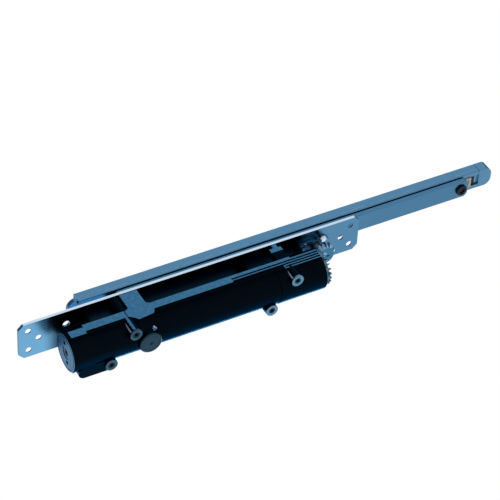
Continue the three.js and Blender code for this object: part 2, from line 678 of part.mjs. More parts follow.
put(swing, "cam_shaft", camShaft(), brightSteel);
put(swing, "arm", arm(), bareSteel);
put(swing, "arm_screw", armScrew(), blackSteel);
put(swing, "pivot_screw", pivotScrew(), blackSteel, [ARM_REACH, 0, 0]);

// ---------------------------------------------------------------- pistons, rollers and springs

/** A piston whose fork straddles the cam: its tip is at nose, and along points away from it. */
function forkedPiston(nose, along, length, rollerX) {
  const span = (a, b) => [nose + along * a, nose + along * b].sort((p, q) => p - q);
  const body = rod(...span(0, length), PISTON_R);
  const forkDepth = Math.abs(rollerX - nose) + ROLLER_R + 1.5;
  const wide = [-BORE_R - 1, BORE_R + 1];
  const slot = box(span(-1, forkDepth), wide, [AXIS_Z - FORK_OPEN, AXIS_Z + FORK_OPEN]);
  const pinHole = post(rollerX, 0, ROLLER_PIN_R + GAP, AXIS_Z - BORE_R - 1, AXIS_Z + BORE_R + 1);
  return cut(body, slot, pinHole);
}

const SPRING_FACE_X = SPRING_PISTON_X + SPRING_PISTON_LENGTH;
const SPRING_COIL_R = PISTON_R - SPRING_WIRE_R - 1.5;
const SPRING_GUIDE_R = SPRING_COIL_R * Math.cos(Math.PI / COIL_STEPS) - SPRING_WIRE_R - GAP;
const DAMPING_FACE_X = DAMPING_PISTON_X - DAMPING_PISTON_LENGTH;
const RING_GROOVE_R = PISTON_R - 2.2;
const BALL_R = 2.5;

function springPiston() {
  const guide = rod(SPRING_FACE_X - 1, SPRING_FACE_X + 6, SPRING_GUIDE_R);
  return join(forkedPiston(SPRING_PISTON_X, 1, SPRING_PISTON_LENGTH, SPRING_ROLLER_X), guide);
}

function dampingPiston() {
  const body = forkedPiston(DAMPING_PISTON_X, -1, DAMPING_PISTON_LENGTH, DAMPING_ROLLER_X);
  const groove = onTube([
    [RING_GROOVE_R, DAMPING_FACE_X + 3], [BORE_R + 1, DAMPING_FACE_X + 3],
    [BORE_R + 1, DAMPING_FACE_X + 5.2], [RING_GROOVE_R, DAMPING_FACE_X + 5.2],
  ]);
  const ballSeat = rod(DAMPING_FACE_X - 1, DAMPING_FACE_X + 8, BALL_R + GAP, 0, AXIS_Z, SMALL_ROUND);
  return cut(body, groove, ballSeat);
}

function checkBall() {
  const ball = new THREE.SphereGeometry(BALL_R, 16, 10);
  return solid(ball.translate(DAMPING_FACE_X + 4.5, 0, AXIS_Z));
}

const PISTON_RING = [
  [RING_GROOVE_R + GAP, DAMPING_FACE_X + 3.3], [BORE_R - 0.15, DAMPING_FACE_X + 3.3],
  [BORE_R - 0.15, DAMPING_FACE_X + 4.9], [RING_GROOVE_R + GAP, DAMPING_FACE_X + 4.9],
];

const CAM_LOW = AXIS_Z - CAM_THICK / 2;
const PIN_HALF = BORE_R - 3; // half a roller pin's length
const roller = () => ring(ROLLER_PIN_R + RUNNING, ROLLER_R, CAM_LOW, CAM_LOW + CAM_THICK);
const rollerPin = () => post(0, 0, ROLLER_PIN_R, AXIS_Z - PIN_HALF, AXIS_Z + PIN_HALF, ROUND);

put(hydraulics, "spring_piston", springPiston(), springSteel);
put(hydraulics, "spring_roller", roller(), brightSteel, [SPRING_ROLLER_X, 0, 0]);
put(hydraulics, "spring_roller_pin", rollerPin(), brightSteel, [SPRING_ROLLER_X, 0, 0]);
put(hydraulics, "damping_piston", dampingPiston(), springSteel);
put(hydraulics, "damping_roller", roller(), brightSteel, [DAMPING_ROLLER_X, 0, 0]);
put(hydraulics, "damping_roller_pin", rollerPin(), brightSteel, [DAMPING_ROLLER_X, 0, 0]);
put(hydraulics, "piston_ring", onTube(PISTON_RING), rubber);
put(hydraulics, "check_ball", checkBall(), brightSteel);
put(
  hydraulics,
  "closing_spring",
  spring(SPRING_FACE_X + GAP, SPRING_SEAT_X - GAP, SPRING_COIL_R, SPRING_WIRE_R, SPRING_COILS),
  springSteel,
);
put(
  hydraulics,
  "return_spring",
  spring(CAP_PLUG_X + GAP, DAMPING_FACE_X - GAP, 9, RETURN_WIRE_R, RETURN_COILS),
  springSteel,
);

// ---------------------------------------------------------------- spring adjuster

const SEAT_END_X = SPRING_SEAT_X + SPRING_SEAT_THICK;
const CAP_INNER_X = HOUSING_RIGHT - SPRING_CAP_LENGTH;
const CROWN_HOLE_R = ADJUSTER_R + GAP;
const CROWN_OUTER_R = CROWN_PITCH_R + TOOTH_FACE / 2;
const CROWN_INNER_R = CROWN_PITCH_R - TOOTH_FACE / 2;

const springSeat = onTube([
  [ADJUSTER_R + GAP, SPRING_SEAT_X], [PISTON_R, SPRING_SEAT_X],
  [PISTON_R, SEAT_END_X], [ADJUSTER_R + GAP, SEAT_END_X],
]);
const springCap = onTube([
  [ADJUSTER_R + GAP, CAP_INNER_X], [PISTON_R, CAP_INNER_X],
  [PISTON_R, HOUSING_RIGHT], [ADJUSTER_R + GAP, HOUSING_RIGHT],
]);
const ADJUSTER_LEFT = SPRING_SEAT_X - ADJUSTER_TRAVEL - 4;
const ADJUSTER_COLLAR = 4; // how thick its thrust collar is, and how far it stands out
const COLLAR_X = CAP_INNER_X - ADJUSTER_COLLAR;
const adjustingScrew = onTube([
  [0, ADJUSTER_LEFT], [ADJUSTER_R, ADJUSTER_LEFT],
  [ADJUSTER_R, COLLAR_X], [ADJUSTER_R + ADJUSTER_COLLAR, COLLAR_X],
  [ADJUSTER_R + ADJUSTER_COLLAR, CAP_INNER_X - GAP], [ADJUSTER_R, CAP_INNER_X - GAP],
  [ADJUSTER_R, TOOTH_ROOT_X - 0.5], [0, TOOTH_ROOT_X - 0.5],
]);

/** A flank-to-flank tooth outline: half widths at the root and at the tip, and its height. */
function toothWidths(pitch) {
  const middle = (pitch * TOOTH_SHARE) / 2;
  return { root: middle * 1.4, tip: middle * 0.6 };
}

/** One crown tooth at the top of the gear, pointing along +X. */
function crownTooth() {
  const { root, tip } = toothWidths((2 * Math.PI * CROWN_PITCH_R) / CROWN_TEETH);
  const outline = polygon([
    [TOOTH_ROOT_X - 1, -root], [TOOTH_ROOT_X, -root], [TOOTH_ROOT_X + TOOTH_DEPTH, -tip],
    [TOOTH_ROOT_X + TOOTH_DEPTH, tip], [TOOTH_ROOT_X, root], [TOOTH_ROOT_X - 1, root],
  ]);
  return slab(outline, CROWN_INNER_R, CROWN_OUTER_R - 0.1);
}

function crownGear() {
  const back = onTube([
    [CROWN_HOLE_R, CROWN_X], [CROWN_OUTER_R, CROWN_X], [CROWN_OUTER_R, TOOTH_ROOT_X],
    [CROWN_INNER_R - 1, TOOTH_ROOT_X], [CROWN_INNER_R - 2, TOOTH_ROOT_X - 1],
    [CROWN_HOLE_R, TOOTH_ROOT_X - 1],
  ]);
  const tooth = crownTooth();
  const teeth = Array.from({ length: CROWN_TEETH }, (_, i) =>
    tooth.rotate([(i * 360) / CROWN_TEETH, 0, 0]).translate(0, 0, AXIS_Z));
  return join(back, ...teeth);
}

/** Toothed wheel turned with a key through the plate. */
function adjusterPinion() {
  const { root, tip } = toothWidths((2 * Math.PI * PINION_PITCH_R) / PINION_TEETH);
  const rootR = PINION_PITCH_R - TOOTH_DEPTH / 2 - MESH_CLEAR / 2;
  const tipR = PINION_PITCH_R + TOOTH_DEPTH / 2 - MESH_CLEAR;
  const corners = [];
  for (let i = 0; i < PINION_TEETH; i += 1) {
    const middle = Math.PI + ((i + 0.5) * 2 * Math.PI) / PINION_TEETH;
    for (const [radius, half] of [[rootR, -root], [tipR, -tip], [tipR, tip], [rootR, root]]) {
      const angle = middle + half / radius;
      corners.push([radius * Math.cos(angle), radius * Math.sin(angle)]);
    }
  }
  const low = -PINION_DROP - PINION_FACE;
  const blank = upright([
    [0, low], [PINION_BEVEL_R, low], [tipR + 0.1, low + PINION_BEVEL],
    [tipR + 0.1, -PINION_DROP], [0, -PINION_DROP],
  ], 48);
  const hubLow = BRACKET_Z - 2.1;
  const wheel = join(
    slab(polygon(corners), low - 1, -PINION_DROP + 1).intersect(blank),
    post(0, 0, rootR - 2, -PINION_DROP - 1, hubLow),
    post(0, 0, PINION_HUB_R, hubLow - 1, -1.4),
  );
  const recess = slab(regular(3, 5.2, 0.3), low - 1, low + 1.6);
  return cut(wheel, recess, hexSocket(2.4, -5.4, 0));
}

const PINION_BUSH_R = PINION_HUB_R + 1.5;
const PINION_FLANGE_R = PINION_HUB_R + 3.3;
const pinionBush = upright([
  [PINION_HUB_R + RUNNING, BRACKET_Z - 1.7], [PINION_FLANGE_R, BRACKET_Z - 1.7],
  [PINION_FLANGE_R, BRACKET_Z - GAP], [PINION_BUSH_R, BRACKET_Z - GAP],
  [PINION_BUSH_R, LUG_TOP - 0.1], [PINION_HUB_R + RUNNING, LUG_TOP - 0.1],
], 28);

/** Bent steel bracket under the plate that holds the pinion. */
function adjusterBracket() {
  const half = BRACKET_WIDTH / 2;
  const left = HOUSING_RIGHT - 6;
  const right = PINION_X + 12;
  const c = BRACKET_CHAMFER;
  const outline = polygon([
    [left, -half], [right - c, -half], [right, c - half],
    [right, half - c], [right - c, half], [left, half],
  ]);
  const sheet = slab(outline, BRACKET_Z, LUG_TOP);
  const flange = box([left, left + 2.5], [-half, half], [BRACKET_Z - 3, LUG_TOP]);
  const screwHoles = BRACKET_SCREWS.map(([x, y]) => post(x, y, FIXING_R + GAP, BRACKET_Z - 1, 0));
  const bushHole = post(PINION_X, 0, PINION_BUSH_R + GAP, BRACKET_Z - 1, 0);
  return cut(join(sheet, flange), ...screwHoles, bushHole);
}

put(adjuster, "spring_seat", springSeat, springSteel);
put(adjuster, "spring_cap", springCap, springSteel);
put(adjuster, "adjusting_screw", adjustingScrew, brightSteel);
put(adjuster, "crown_gear", crownGear(), brightSteel);
put(adjuster, "adjuster_pinion", adjusterPinion(), machined, [PINION_X, 0, 0]);
put(adjuster, "pinion_bush", pinionBush, bronze, [PINION_X, 0, 0]);
put(adjuster, "adjuster_bracket", adjusterBracket(), bareSteel);
BRACKET_SCREWS.forEach(([x, y], i) => {
  const screw = countersunkScrew(FIXING_R, FIXING_HEAD_R, BRACKET_Z + 0.2, -0.1);
  put(adjuster, `bracket_screw_${i + 1}`, screw, brightSteel, [x, y, 0]);
});

// ---------------------------------------------------------------- slide channel and block

/** Rolled channel, open below between its two lips, with screw holes in its roof. */
function slideChannel() {
  const half = CHANNEL_WIDTH / 2;
  const run = [CHANNEL_LEFT, CHANNEL_RIGHT];
  const hollow = box([CHANNEL_LEFT - 1, CHANNEL_RIGHT + 1], [-CHANNEL_INSIDE, CHANNEL_INSIDE],
    [CHANNEL_Z + CHANNEL_WALL, CHANNEL_TOP - CHANNEL_WALL]);
  const slot = box([CHANNEL_LEFT - 1, CHANNEL_RIGHT + 1], [-SLOT_WIDTH / 2, SLOT_WIDTH / 2],
    [CHANNEL_Z - 1, CHANNEL_Z + CHANNEL_WALL + 1]);
  const holes = [CHANNEL_LEFT + 18, (CHANNEL_LEFT + CHANNEL_RIGHT) / 2, CHANNEL_RIGHT - 22].map((x) =>
    post(x, 0, 2.6, CHANNEL_TOP - CHANNEL_WALL - 1, CHANNEL_TOP + 1));
  return cut(box(run, [-half, half], [CHANNEL_Z, CHANNEL_TOP]), hollow, slot, ...holes);
}

/** Rounded piece that closes a channel end, pointing along +X from the end's own middle. */
function channelEnd({ low, high, length, corner: r, spigot }) {
  const half = CHANNEL_WIDTH / 2;
  const outline = new THREE.Shape();
  outline.moveTo(GAP, -half);
  outline.lineTo(length - r, -half);
  outline.absarc(length - r, r - half, r, -Math.PI / 2, 0, false);
  outline.absarc(length - r, half - r, r, 0, Math.PI / 2, false);
  outline.lineTo(GAP, half);
  const inside = [GAP - CHANNEL_INSIDE, CHANNEL_INSIDE - GAP];
  const neck = [Math.max(low, BLOCK_LOW), Math.min(high, BLOCK_HIGH)];
  return join(
    slab(outline, low, high, 8),
    box([-spigot, GAP + 1], inside, neck),
    box([-spigot, -GAP], inside, [BLOCK_LOW, BLOCK_HIGH]),
  );
}

const rightEnd = channelEnd({
  low: CHANNEL_Z,
  high: CHANNEL_TOP,
  length: END_LENGTH,
  corner: END_CORNER,
  spigot: END_SPIGOT,
});
const leftEnd = channelEnd({
  low: BLOCK_LOW,
  high: BLOCK_LOW + TONGUE_THICK,
  length: TONGUE_LENGTH,
  corner: TONGUE_CORNER,
  spigot: TONGUE_SPIGOT,
});

function slideBlock() {
  const inside = CHANNEL_INSIDE - GAP;
  const neck = SLOT_WIDTH / 2 - GAP;
  const ends = [-BLOCK_LENGTH / 2, BLOCK_LENGTH / 2];
  const body = join(
    box(ends, [-inside, inside], [BLOCK_LOW, BLOCK_HIGH]),
    box(ends, [-neck, neck], [ARM_TOP + GAP, BLOCK_LOW + 1]),
  );
  return cut(body, post(0, 0, PIVOT_R + 1.7 + GAP, ARM_TOP - 1, BLOCK_HIGH + 1));
}

const blockBush = ring(PIVOT_R + RUNNING, PIVOT_R + 1.7, ARM_TOP + GAP, BLOCK_HIGH - 0.2, 28);
const buffer = box(
  [BUFFER_X, BUFFER_X + BUFFER_THICK],
  [GAP - CHANNEL_INSIDE, CHANNEL_INSIDE - GAP],
  [BLOCK_LOW, BLOCK_HIGH],
);

put(track, "slide_channel", slideChannel(), bareSteel);
put(track, "channel_end_right", rightEnd, bareSteel, [CHANNEL_RIGHT, 0, 0]);
put(track, "channel_end_left", leftEnd.rotate([0, 0, 180]), bareSteel, [CHANNEL_LEFT, 0, 0]);
put(track, "channel_buffer", buffer, rubber);
put(track, "slide_block", slideBlock(), blockPlastic, [ARM_REACH, 0, 0]);
put(track, "block_bush", blockBush, bronze, [ARM_REACH, 0, 0]);

export default closer;
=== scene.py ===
"""Concealed cam-action door closer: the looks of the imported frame, in metres.

Sizes in the functions are millimetres in the frame's own axes, turned to metres where a shape is made.
"""

from math import cos, pi, radians, sin

import bpy
from mathutils import Matrix, Vector


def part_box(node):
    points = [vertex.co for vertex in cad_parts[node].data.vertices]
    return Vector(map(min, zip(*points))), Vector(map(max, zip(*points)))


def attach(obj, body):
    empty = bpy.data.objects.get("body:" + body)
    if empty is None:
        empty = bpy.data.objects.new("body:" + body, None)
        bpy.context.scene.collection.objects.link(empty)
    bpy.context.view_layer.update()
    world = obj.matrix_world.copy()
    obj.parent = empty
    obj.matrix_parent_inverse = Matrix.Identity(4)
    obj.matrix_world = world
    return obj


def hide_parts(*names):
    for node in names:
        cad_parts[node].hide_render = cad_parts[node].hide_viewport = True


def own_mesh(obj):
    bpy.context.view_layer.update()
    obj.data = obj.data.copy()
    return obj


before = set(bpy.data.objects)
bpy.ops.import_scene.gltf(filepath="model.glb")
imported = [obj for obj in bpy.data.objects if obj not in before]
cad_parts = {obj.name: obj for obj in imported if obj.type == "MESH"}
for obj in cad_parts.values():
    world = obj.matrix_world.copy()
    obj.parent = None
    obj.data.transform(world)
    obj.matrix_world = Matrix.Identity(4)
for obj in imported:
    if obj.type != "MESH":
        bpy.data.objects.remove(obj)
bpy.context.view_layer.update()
MM = 0.001
BODY = "closer_body"
SWING = "spindle_and_arm"
TRACK = "slide_channel"


# ---------------------------------------------------------------- sizes taken from the frame

def box_mm(node):
    """Lowest and highest corner of a frame node, in millimetres."""
    low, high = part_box(node)
    return [value / MM for value in low], [value / MM for value in high]


cap_low, cap_high = box_mm("end_cap")
body_low, body_high = box_mm("housing")
plate_low, plate_high = box_mm("mounting_plate")
arm_low, arm_high = box_mm("arm")
channel_low, channel_high = box_mm("slide_channel")
block_low, block_high = box_mm("slide_block")
pivot_low, pivot_high = box_mm("pivot_screw")

AXIS_Z = (cap_low[2] + cap_high[2]) / 2
COLLAR_R = (cap_high[2] - cap_low[2]) / 2
TUBE_R = COLLAR_R - 0.5
RAIL_Y = TUBE_R + 0.7
PIVOT_X = (pivot_low[0] + pivot_high[0]) / 2


# ---------------------------------------------------------------- modelling by hand

def let_go():
    """Object mode with nothing selected."""
    active = bpy.context.view_layer.objects.active
    if active and active.mode != "OBJECT":
        bpy.ops.object.mode_set(mode="OBJECT")
    bpy.ops.object.select_all(action="DESELECT")


def pick(piece):
    let_go()
    piece.select_set(True)
    bpy.context.view_layer.objects.active = piece


def settle(piece, name=None):
    """Puts the piece's place into its mesh, so that its object sits at the origin."""
    pick(piece)
    bpy.ops.object.transform_apply(location=True, rotation=True, scale=True)
    if name:
        piece.name = name
        piece.data.name = name
    return piece


def edit(piece, mode="VERT"):
    pick(piece)
    bpy.ops.object.mode_set(mode="EDIT")
    bpy.ops.mesh.select_mode(type=mode)
    bpy.ops.mesh.select_all(action="DESELECT")


def choose(piece, kind, wanted):
    """Selects the vertices, edges or faces that pass a test of their middle point in millimetres."""
    bpy.ops.object.mode_set(mode="OBJECT")
    points = [vertex.co / MM for vertex in piece.data.vertices]
    for part in getattr(piece.data, kind):
        corners = [points[i] for i in part.vertices] if kind != "vertices" else [points[part.index]]
        part.select = wanted(sum(corners, Vector()) / len(corners), corners)
    bpy.ops.object.mode_set(mode="EDIT")


def tidy_mesh(piece, flat=0.5):
    """Merges doubles, dissolves flat seams and turns the faces outwards."""
    edit(piece)
    bpy.ops.mesh.select_all(action="SELECT")
    bpy.ops.mesh.remove_doubles(threshold=2e-6)
    bpy.ops.mesh.dissolve_limited(angle_limit=radians(flat))
    bpy.ops.mesh.select_all(action="SELECT")
    bpy.ops.mesh.normals_make_consistent(inside=False)
    let_go()
    return piece


def block(name, x, y, z):
    let_go()
    spans = (x, y, z)
    centre = [(a + b) / 2 * MM for a, b in spans]
    bpy.ops.mesh.primitive_cube_add(size=1, location=centre, scale=[(b - a) * MM for a, b in spans])
    return settle(bpy.context.object, name)


def post(name, x, y, radius, z0, z1, sides=48, top_radius=None, turn=0):
    """An upright cylinder, cone or prism."""
    let_go()
    bpy.ops.mesh.primitive_cone_add(
        vertices=sides,
        radius1=radius * MM,
        radius2=(radius if top_radius is None else top_radius) * MM,
        depth=(z1 - z0) * MM,
        location=(x * MM, y * MM, (z0 + z1) / 2 * MM),
        rotation=(0, 0, turn),
    )
    return settle(bpy.context.object, name)


def bar(name, x0, x1, radius, y=0, z=AXIS_Z, sides=96):
    """A cylinder lying along the tube."""
    let_go()
    bpy.ops.mesh.primitive_cylinder_add(
        vertices=sides,
        radius=radius * MM,
        depth=(x1 - x0) * MM,
        location=((x0 + x1) / 2 * MM, y * MM, z * MM),
        rotation=(0, pi / 2, 0),
    )
    return settle(bpy.context.object, name)


SORT_FROM = (0.0113, 0.0071, 0.0457)  # a point on no turned piece's plane of symmetry


def steady_order():
    """Sorts the mesh that is open in edit mode by distance from one fixed point.

    Extruding leaves the faces in an order that changes from run to run, and later cuts depend on it.
    """
    bpy.context.scene.cursor.location = SORT_FROM
    bpy.ops.mesh.select_all(action="SELECT")
    bpy.ops.mesh.sort_elements(type="CURSOR_DISTANCE", elements={"VERT", "EDGE", "FACE"})


def turned(name, profile, place=(0, 0, 0), sides=64, along="Z"):
    """A turned piece, drawn out step by step from its first face: profile is (radius, height) pairs."""
    let_go()
    radius, height = profile[0]
    bpy.ops.mesh.primitive_circle_add(
        vertices=sides, radius=radius * MM, fill_type="NGON", location=(0, 0, height * MM)
    )
    piece = settle(bpy.context.object, name)
    pick(piece)
    bpy.ops.object.mode_set(mode="EDIT")
    bpy.ops.mesh.select_mode(type="FACE")
    bpy.ops.mesh.select_all(action="SELECT")
    for next_radius, next_height in profile[1:]:
        rise = (0, 0, (next_height - height) * MM)
        bpy.ops.mesh.extrude_region_move(TRANSFORM_OT_translate={"value": rise})
        size = next_radius / radius
        bpy.ops.transform.resize(value=(size, size, 1), center_override=(0, 0, next_height * MM))
        radius, height = next_radius, next_height
    steady_order()
    bpy.ops.mesh.normals_make_consistent(inside=False)
    let_go()
    piece.rotation_euler = (0, pi / 2, 0) if along == "X" else (0, 0, 0)
    piece.location = [value * MM for value in place]
    return settle(piece)


def shape(piece, operation, *tools):
    """Joins tools to the piece, or cuts them out of it."""
    for tool in tools:
        pick(piece)
        modifier = piece.modifiers.new("shape", "BOOLEAN")
        modifier.operation = operation
        modifier.solver = "EXACT"
        modifier.object = tool
        bpy.ops.object.modifier_apply(modifier=modifier.name)
        bpy.data.objects.remove(tool)
    return piece


def join(piece, *tools):
    return shape(piece, "UNION", *tools)


def cut(piece, *tools):
    return shape(piece, "DIFFERENCE", *tools)


def ease(piece, width, segments=2, corner=32, smooth=40):
    """Breaks the sharp edges and smooths what is round, keeping flat faces flat."""
    pick(piece)
    bevel = piece.modifiers.new("eased edges", "BEVEL")
    bevel.width = width * MM
    bevel.segments = segments
    bevel.limit_method = "ANGLE"
    bevel.angle_limit = radians(corner)
    bevel.miter_outer = "MITER_ARC"
    bpy.ops.object.modifier_apply(modifier=bevel.name)
    bpy.ops.object.shade_smooth_by_angle(angle=radians(smooth))
    weighted = piece.modifiers.new("flat faces", "WEIGHTED_NORMAL")
    weighted.keep_sharp = True
    weighted.weight = 90
    bpy.ops.object.modifier_apply(modifier=weighted.name)
    return piece


def copied(node, name, flat=0.5):
    """A frame node's own shape as a new piece, merged and ready to finish."""
    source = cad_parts[node]
    piece = source.copy()
    piece.data = source.data.copy()
    piece.parent = None
    for key in list(piece.keys()):
        del piece[key]
    bpy.context.scene.collection.objects.link(piece)
    piece.name = name
    piece.data.name = name
    piece.data.materials.clear()
    pick(piece)
    bpy.ops.mesh.customdata_custom_splitnormals_clear()
    return tidy_mesh(piece, flat)


def duplicate(piece, name, shift):
    """Another of the same piece, with its own mesh, moved by millimetres."""
    twin = piece.copy()
    twin.data = piece.data.copy()
    bpy.context.scene.collection.objects.link(twin)
    twin.location = [value * MM for value in shift]
    return settle(twin, name)


def copies(piece, names, places):
    """The piece, then another of it at each further place, each with its own mesh."""
    x, y = places[0][:2]
    made = [piece]
    for name, place in zip(names[1:], places[1:]):
        made.append(duplicate(piece, name, (place[0] - x, place[1] - y, 0)))
    return made


def paint(piece, first, second, wanted):
    """Two finishes on one piece: the second on the faces that pass a test of place and direction."""
    piece.data.materials.append(first)
    piece.data.materials.append(second)
    for face in piece.data.polygons:
        x, y, z = (value / MM for value in face.center)
        if wanted(x, y, z, face.normal):
            face.material_index = 1
    return piece


def fit(piece, body, slot, material, *nodes):
    """Gives a finished piece its material and its body, and hides the frame nodes it stands for."""
    if not piece.data.materials:
        piece.data.materials.append(material)
    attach(piece, body)
    if nodes:
        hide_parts(*nodes)
    return piece


# ---------------------------------------------------------------- finishes

def group(name, inputs, outputs):
    tree = bpy.data.node_groups.new(name, "ShaderNodeTree")
    for label, kind, value in inputs:
        socket = tree.interface.new_socket(name=label, in_out="INPUT", socket_type=kind)
        socket.default_value = value
    for label, kind in outputs:
        tree.interface.new_socket(name=label, in_out="OUTPUT", socket_type=kind)
    return tree, tree.nodes.new("NodeGroupInput"), tree.nodes.new("NodeGroupOutput")


def add(tree, kind, **settings):
    made = tree.nodes.new(kind)
    for key, value in settings.items():
        setattr(made, key, value)
    return made


def mask_between(tree, source, low, high):
    """A number turned to a mask that rises from low to high."""
    spread = add(tree, "ShaderNodeMapRange", interpolation_type="SMOOTHSTEP")
    spread.inputs["From Min"].default_value = low
    spread.inputs["From Max"].default_value = high
    tree.links.new(source, spread.inputs["Value"])
    return spread.outputs["Result"]


def mixed(tree, mask, first, second):
    """Two colours mixed by a mask."""
    mix = add(tree, "ShaderNodeMix", data_type="RGBA")
    tree.links.new(mask, mix.inputs["Factor"])
    for socket, value in ((mix.inputs[6], first), (mix.inputs[7], second)):
        if hasattr(value, "links"):
            tree.links.new(value, socket)
        else:
            socket.default_value = value
    return mix.outputs[2]


def noise(tree, vector, scale, detail=3, rough=0.55):
    made = add(tree, "ShaderNodeTexNoise")
    made.inputs["Detail"].default_value = detail
    made.inputs["Roughness"].default_value = rough
    if hasattr(scale, "links"):
        tree.links.new(scale, made.inputs["Scale"])
    else:
        made.inputs["Scale"].default_value = scale
    tree.links.new(vector, made.inputs["Vector"])
    return made.outputs["Fac"]


def grain_group():
    """Lines or specks of a worked surface: a value for the roughness, a mask and a normal."""
    tree, given, result = group(
        "worked grain",
        [
            ("Stretch", "NodeSocketVector", (1, 1, 1)),
            ("Scale", "NodeSocketFloat", 900),
            ("Depth", "NodeSocketFloat", 0.2),
            ("Roughness", "NodeSocketFloat", 0.3),
            ("Spread", "NodeSocketFloat", 0.1),
        ],
        [("Mask", "NodeSocketFloat"), ("Roughness", "NodeSocketFloat"), ("Normal", "NodeSocketVector")],
    )
    place = add(tree, "ShaderNodeTexCoord").outputs["Object"]
    stretched = add(tree, "ShaderNodeVectorMath", operation="MULTIPLY")
    tree.links.new(place, stretched.inputs[0])
    tree.links.new(given.outputs["Stretch"], stretched.inputs[1])
    lines = noise(tree, stretched.outputs[0], given.outputs["Scale"], 5, 0.7)
    centred = add(tree, "ShaderNodeMath", operation="SUBTRACT")
    tree.links.new(lines, centred.inputs[0])
    centred.inputs[1].default_value = 0.5
    swing = add(tree, "ShaderNodeMath", operation="MULTIPLY_ADD")
    tree.links.new(centred.outputs[0], swing.inputs[0])
    tree.links.new(given.outputs["Spread"], swing.inputs[1])
    tree.links.new(given.outputs["Roughness"], swing.inputs[2])
    bump = add(tree, "ShaderNodeBump")
    bump.inputs["Distance"].default_value = 0.00015
    tree.links.new(given.outputs["Depth"], bump.inputs["Strength"])
    tree.links.new(lines, bump.inputs["Height"])
    tree.links.new(lines, result.inputs["Mask"])
    tree.links.new(swing.outputs[0], result.inputs["Roughness"])
    tree.links.new(bump.outputs["Normal"], result.inputs["Normal"])
    return tree


def wear_group():
    """Where the edges have been rubbed bright."""
    tree, given, result = group(
        "rubbed edges",
        [
            ("Low", "NodeSocketFloat", 0.53),
            ("High", "NodeSocketFloat", 0.6),
            ("Patch", "NodeSocketFloat", 220),
        ],
        [("Mask", "NodeSocketFloat")],
    )
    sharp = add(tree, "ShaderNodeNewGeometry").outputs["Pointiness"]
    edge = add(tree, "ShaderNodeMapRange", interpolation_type="SMOOTHSTEP")
    tree.links.new(sharp, edge.inputs["Value"])
    tree.links.new(given.outputs["Low"], edge.inputs["From Min"])
    tree.links.new(given.outputs["High"], edge.inputs["From Max"])
    place = add(tree, "ShaderNodeTexCoord").outputs["Object"]
    patches = mask_between(tree, noise(tree, place, given.outputs["Patch"]), 0.3, 0.6)
    both = add(tree, "ShaderNodeMath", operation="MULTIPLY")
    tree.links.new(edge.outputs["Result"], both.inputs[0])
    tree.links.new(patches, both.inputs[1])
    tree.links.new(both.outputs[0], result.inputs["Mask"])
    return tree


def handling_group():
    """Broad cloudy marks of oil and handling, with a few fine specks."""
    tree, given, result = group(
        "handling marks",
        [("Cloud", "NodeSocketFloat", 14), ("Speck", "NodeSocketFloat", 1500)],
        [("Cloud", "NodeSocketFloat"), ("Speck", "NodeSocketFloat")],
    )
    place = add(tree, "ShaderNodeTexCoord").outputs["Object"]
    cloud = mask_between(tree, noise(tree, place, given.outputs["Cloud"], 4), 0.35, 0.7)
    speck = mask_between(tree, noise(tree, place, given.outputs["Speck"], 2), 0.66, 0.74)
    tree.links.new(cloud, result.inputs["Cloud"])
    tree.links.new(speck, result.inputs["Speck"])
    return tree


GRAIN = grain_group()
WEAR = wear_group()
HANDLING = handling_group()
ALONG_TUBE = (0.03, 1, 1)
EVEN = (1, 1, 1)


def paint_shade_along_tube(material, low, high, dark):
    """Paints shade into a finish between two places along the tube, fading over 20 mm at each end."""
    tree = material.node_tree
    shader = tree.nodes["Principled BSDF"]
    across = add(tree, "ShaderNodeSeparateXYZ")
    tree.links.new(add(tree, "ShaderNodeTexCoord").outputs["Object"], across.inputs[0])
    starts = mask_between(tree, across.outputs["X"], (low - 10) * MM, (low + 10) * MM)
    ends = mask_between(tree, across.outputs["X"], (high + 10) * MM, (high - 10) * MM)
    both = add(tree, "ShaderNodeMath", operation="MULTIPLY")
    tree.links.new(starts, both.inputs[0])
    tree.links.new(ends, both.inputs[1])
    plain = shader.inputs["Base Color"].links[0].from_socket
    tree.links.new(mixed(tree, both.outputs[0], plain, (*dark, 1)), shader.inputs["Base Color"])
    return material


def place_group(tree, made, **values):
    placed = add(tree, "ShaderNodeGroup", node_tree=made)
    for key, value in values.items():
        placed.inputs[key].default_value = value
    return placed


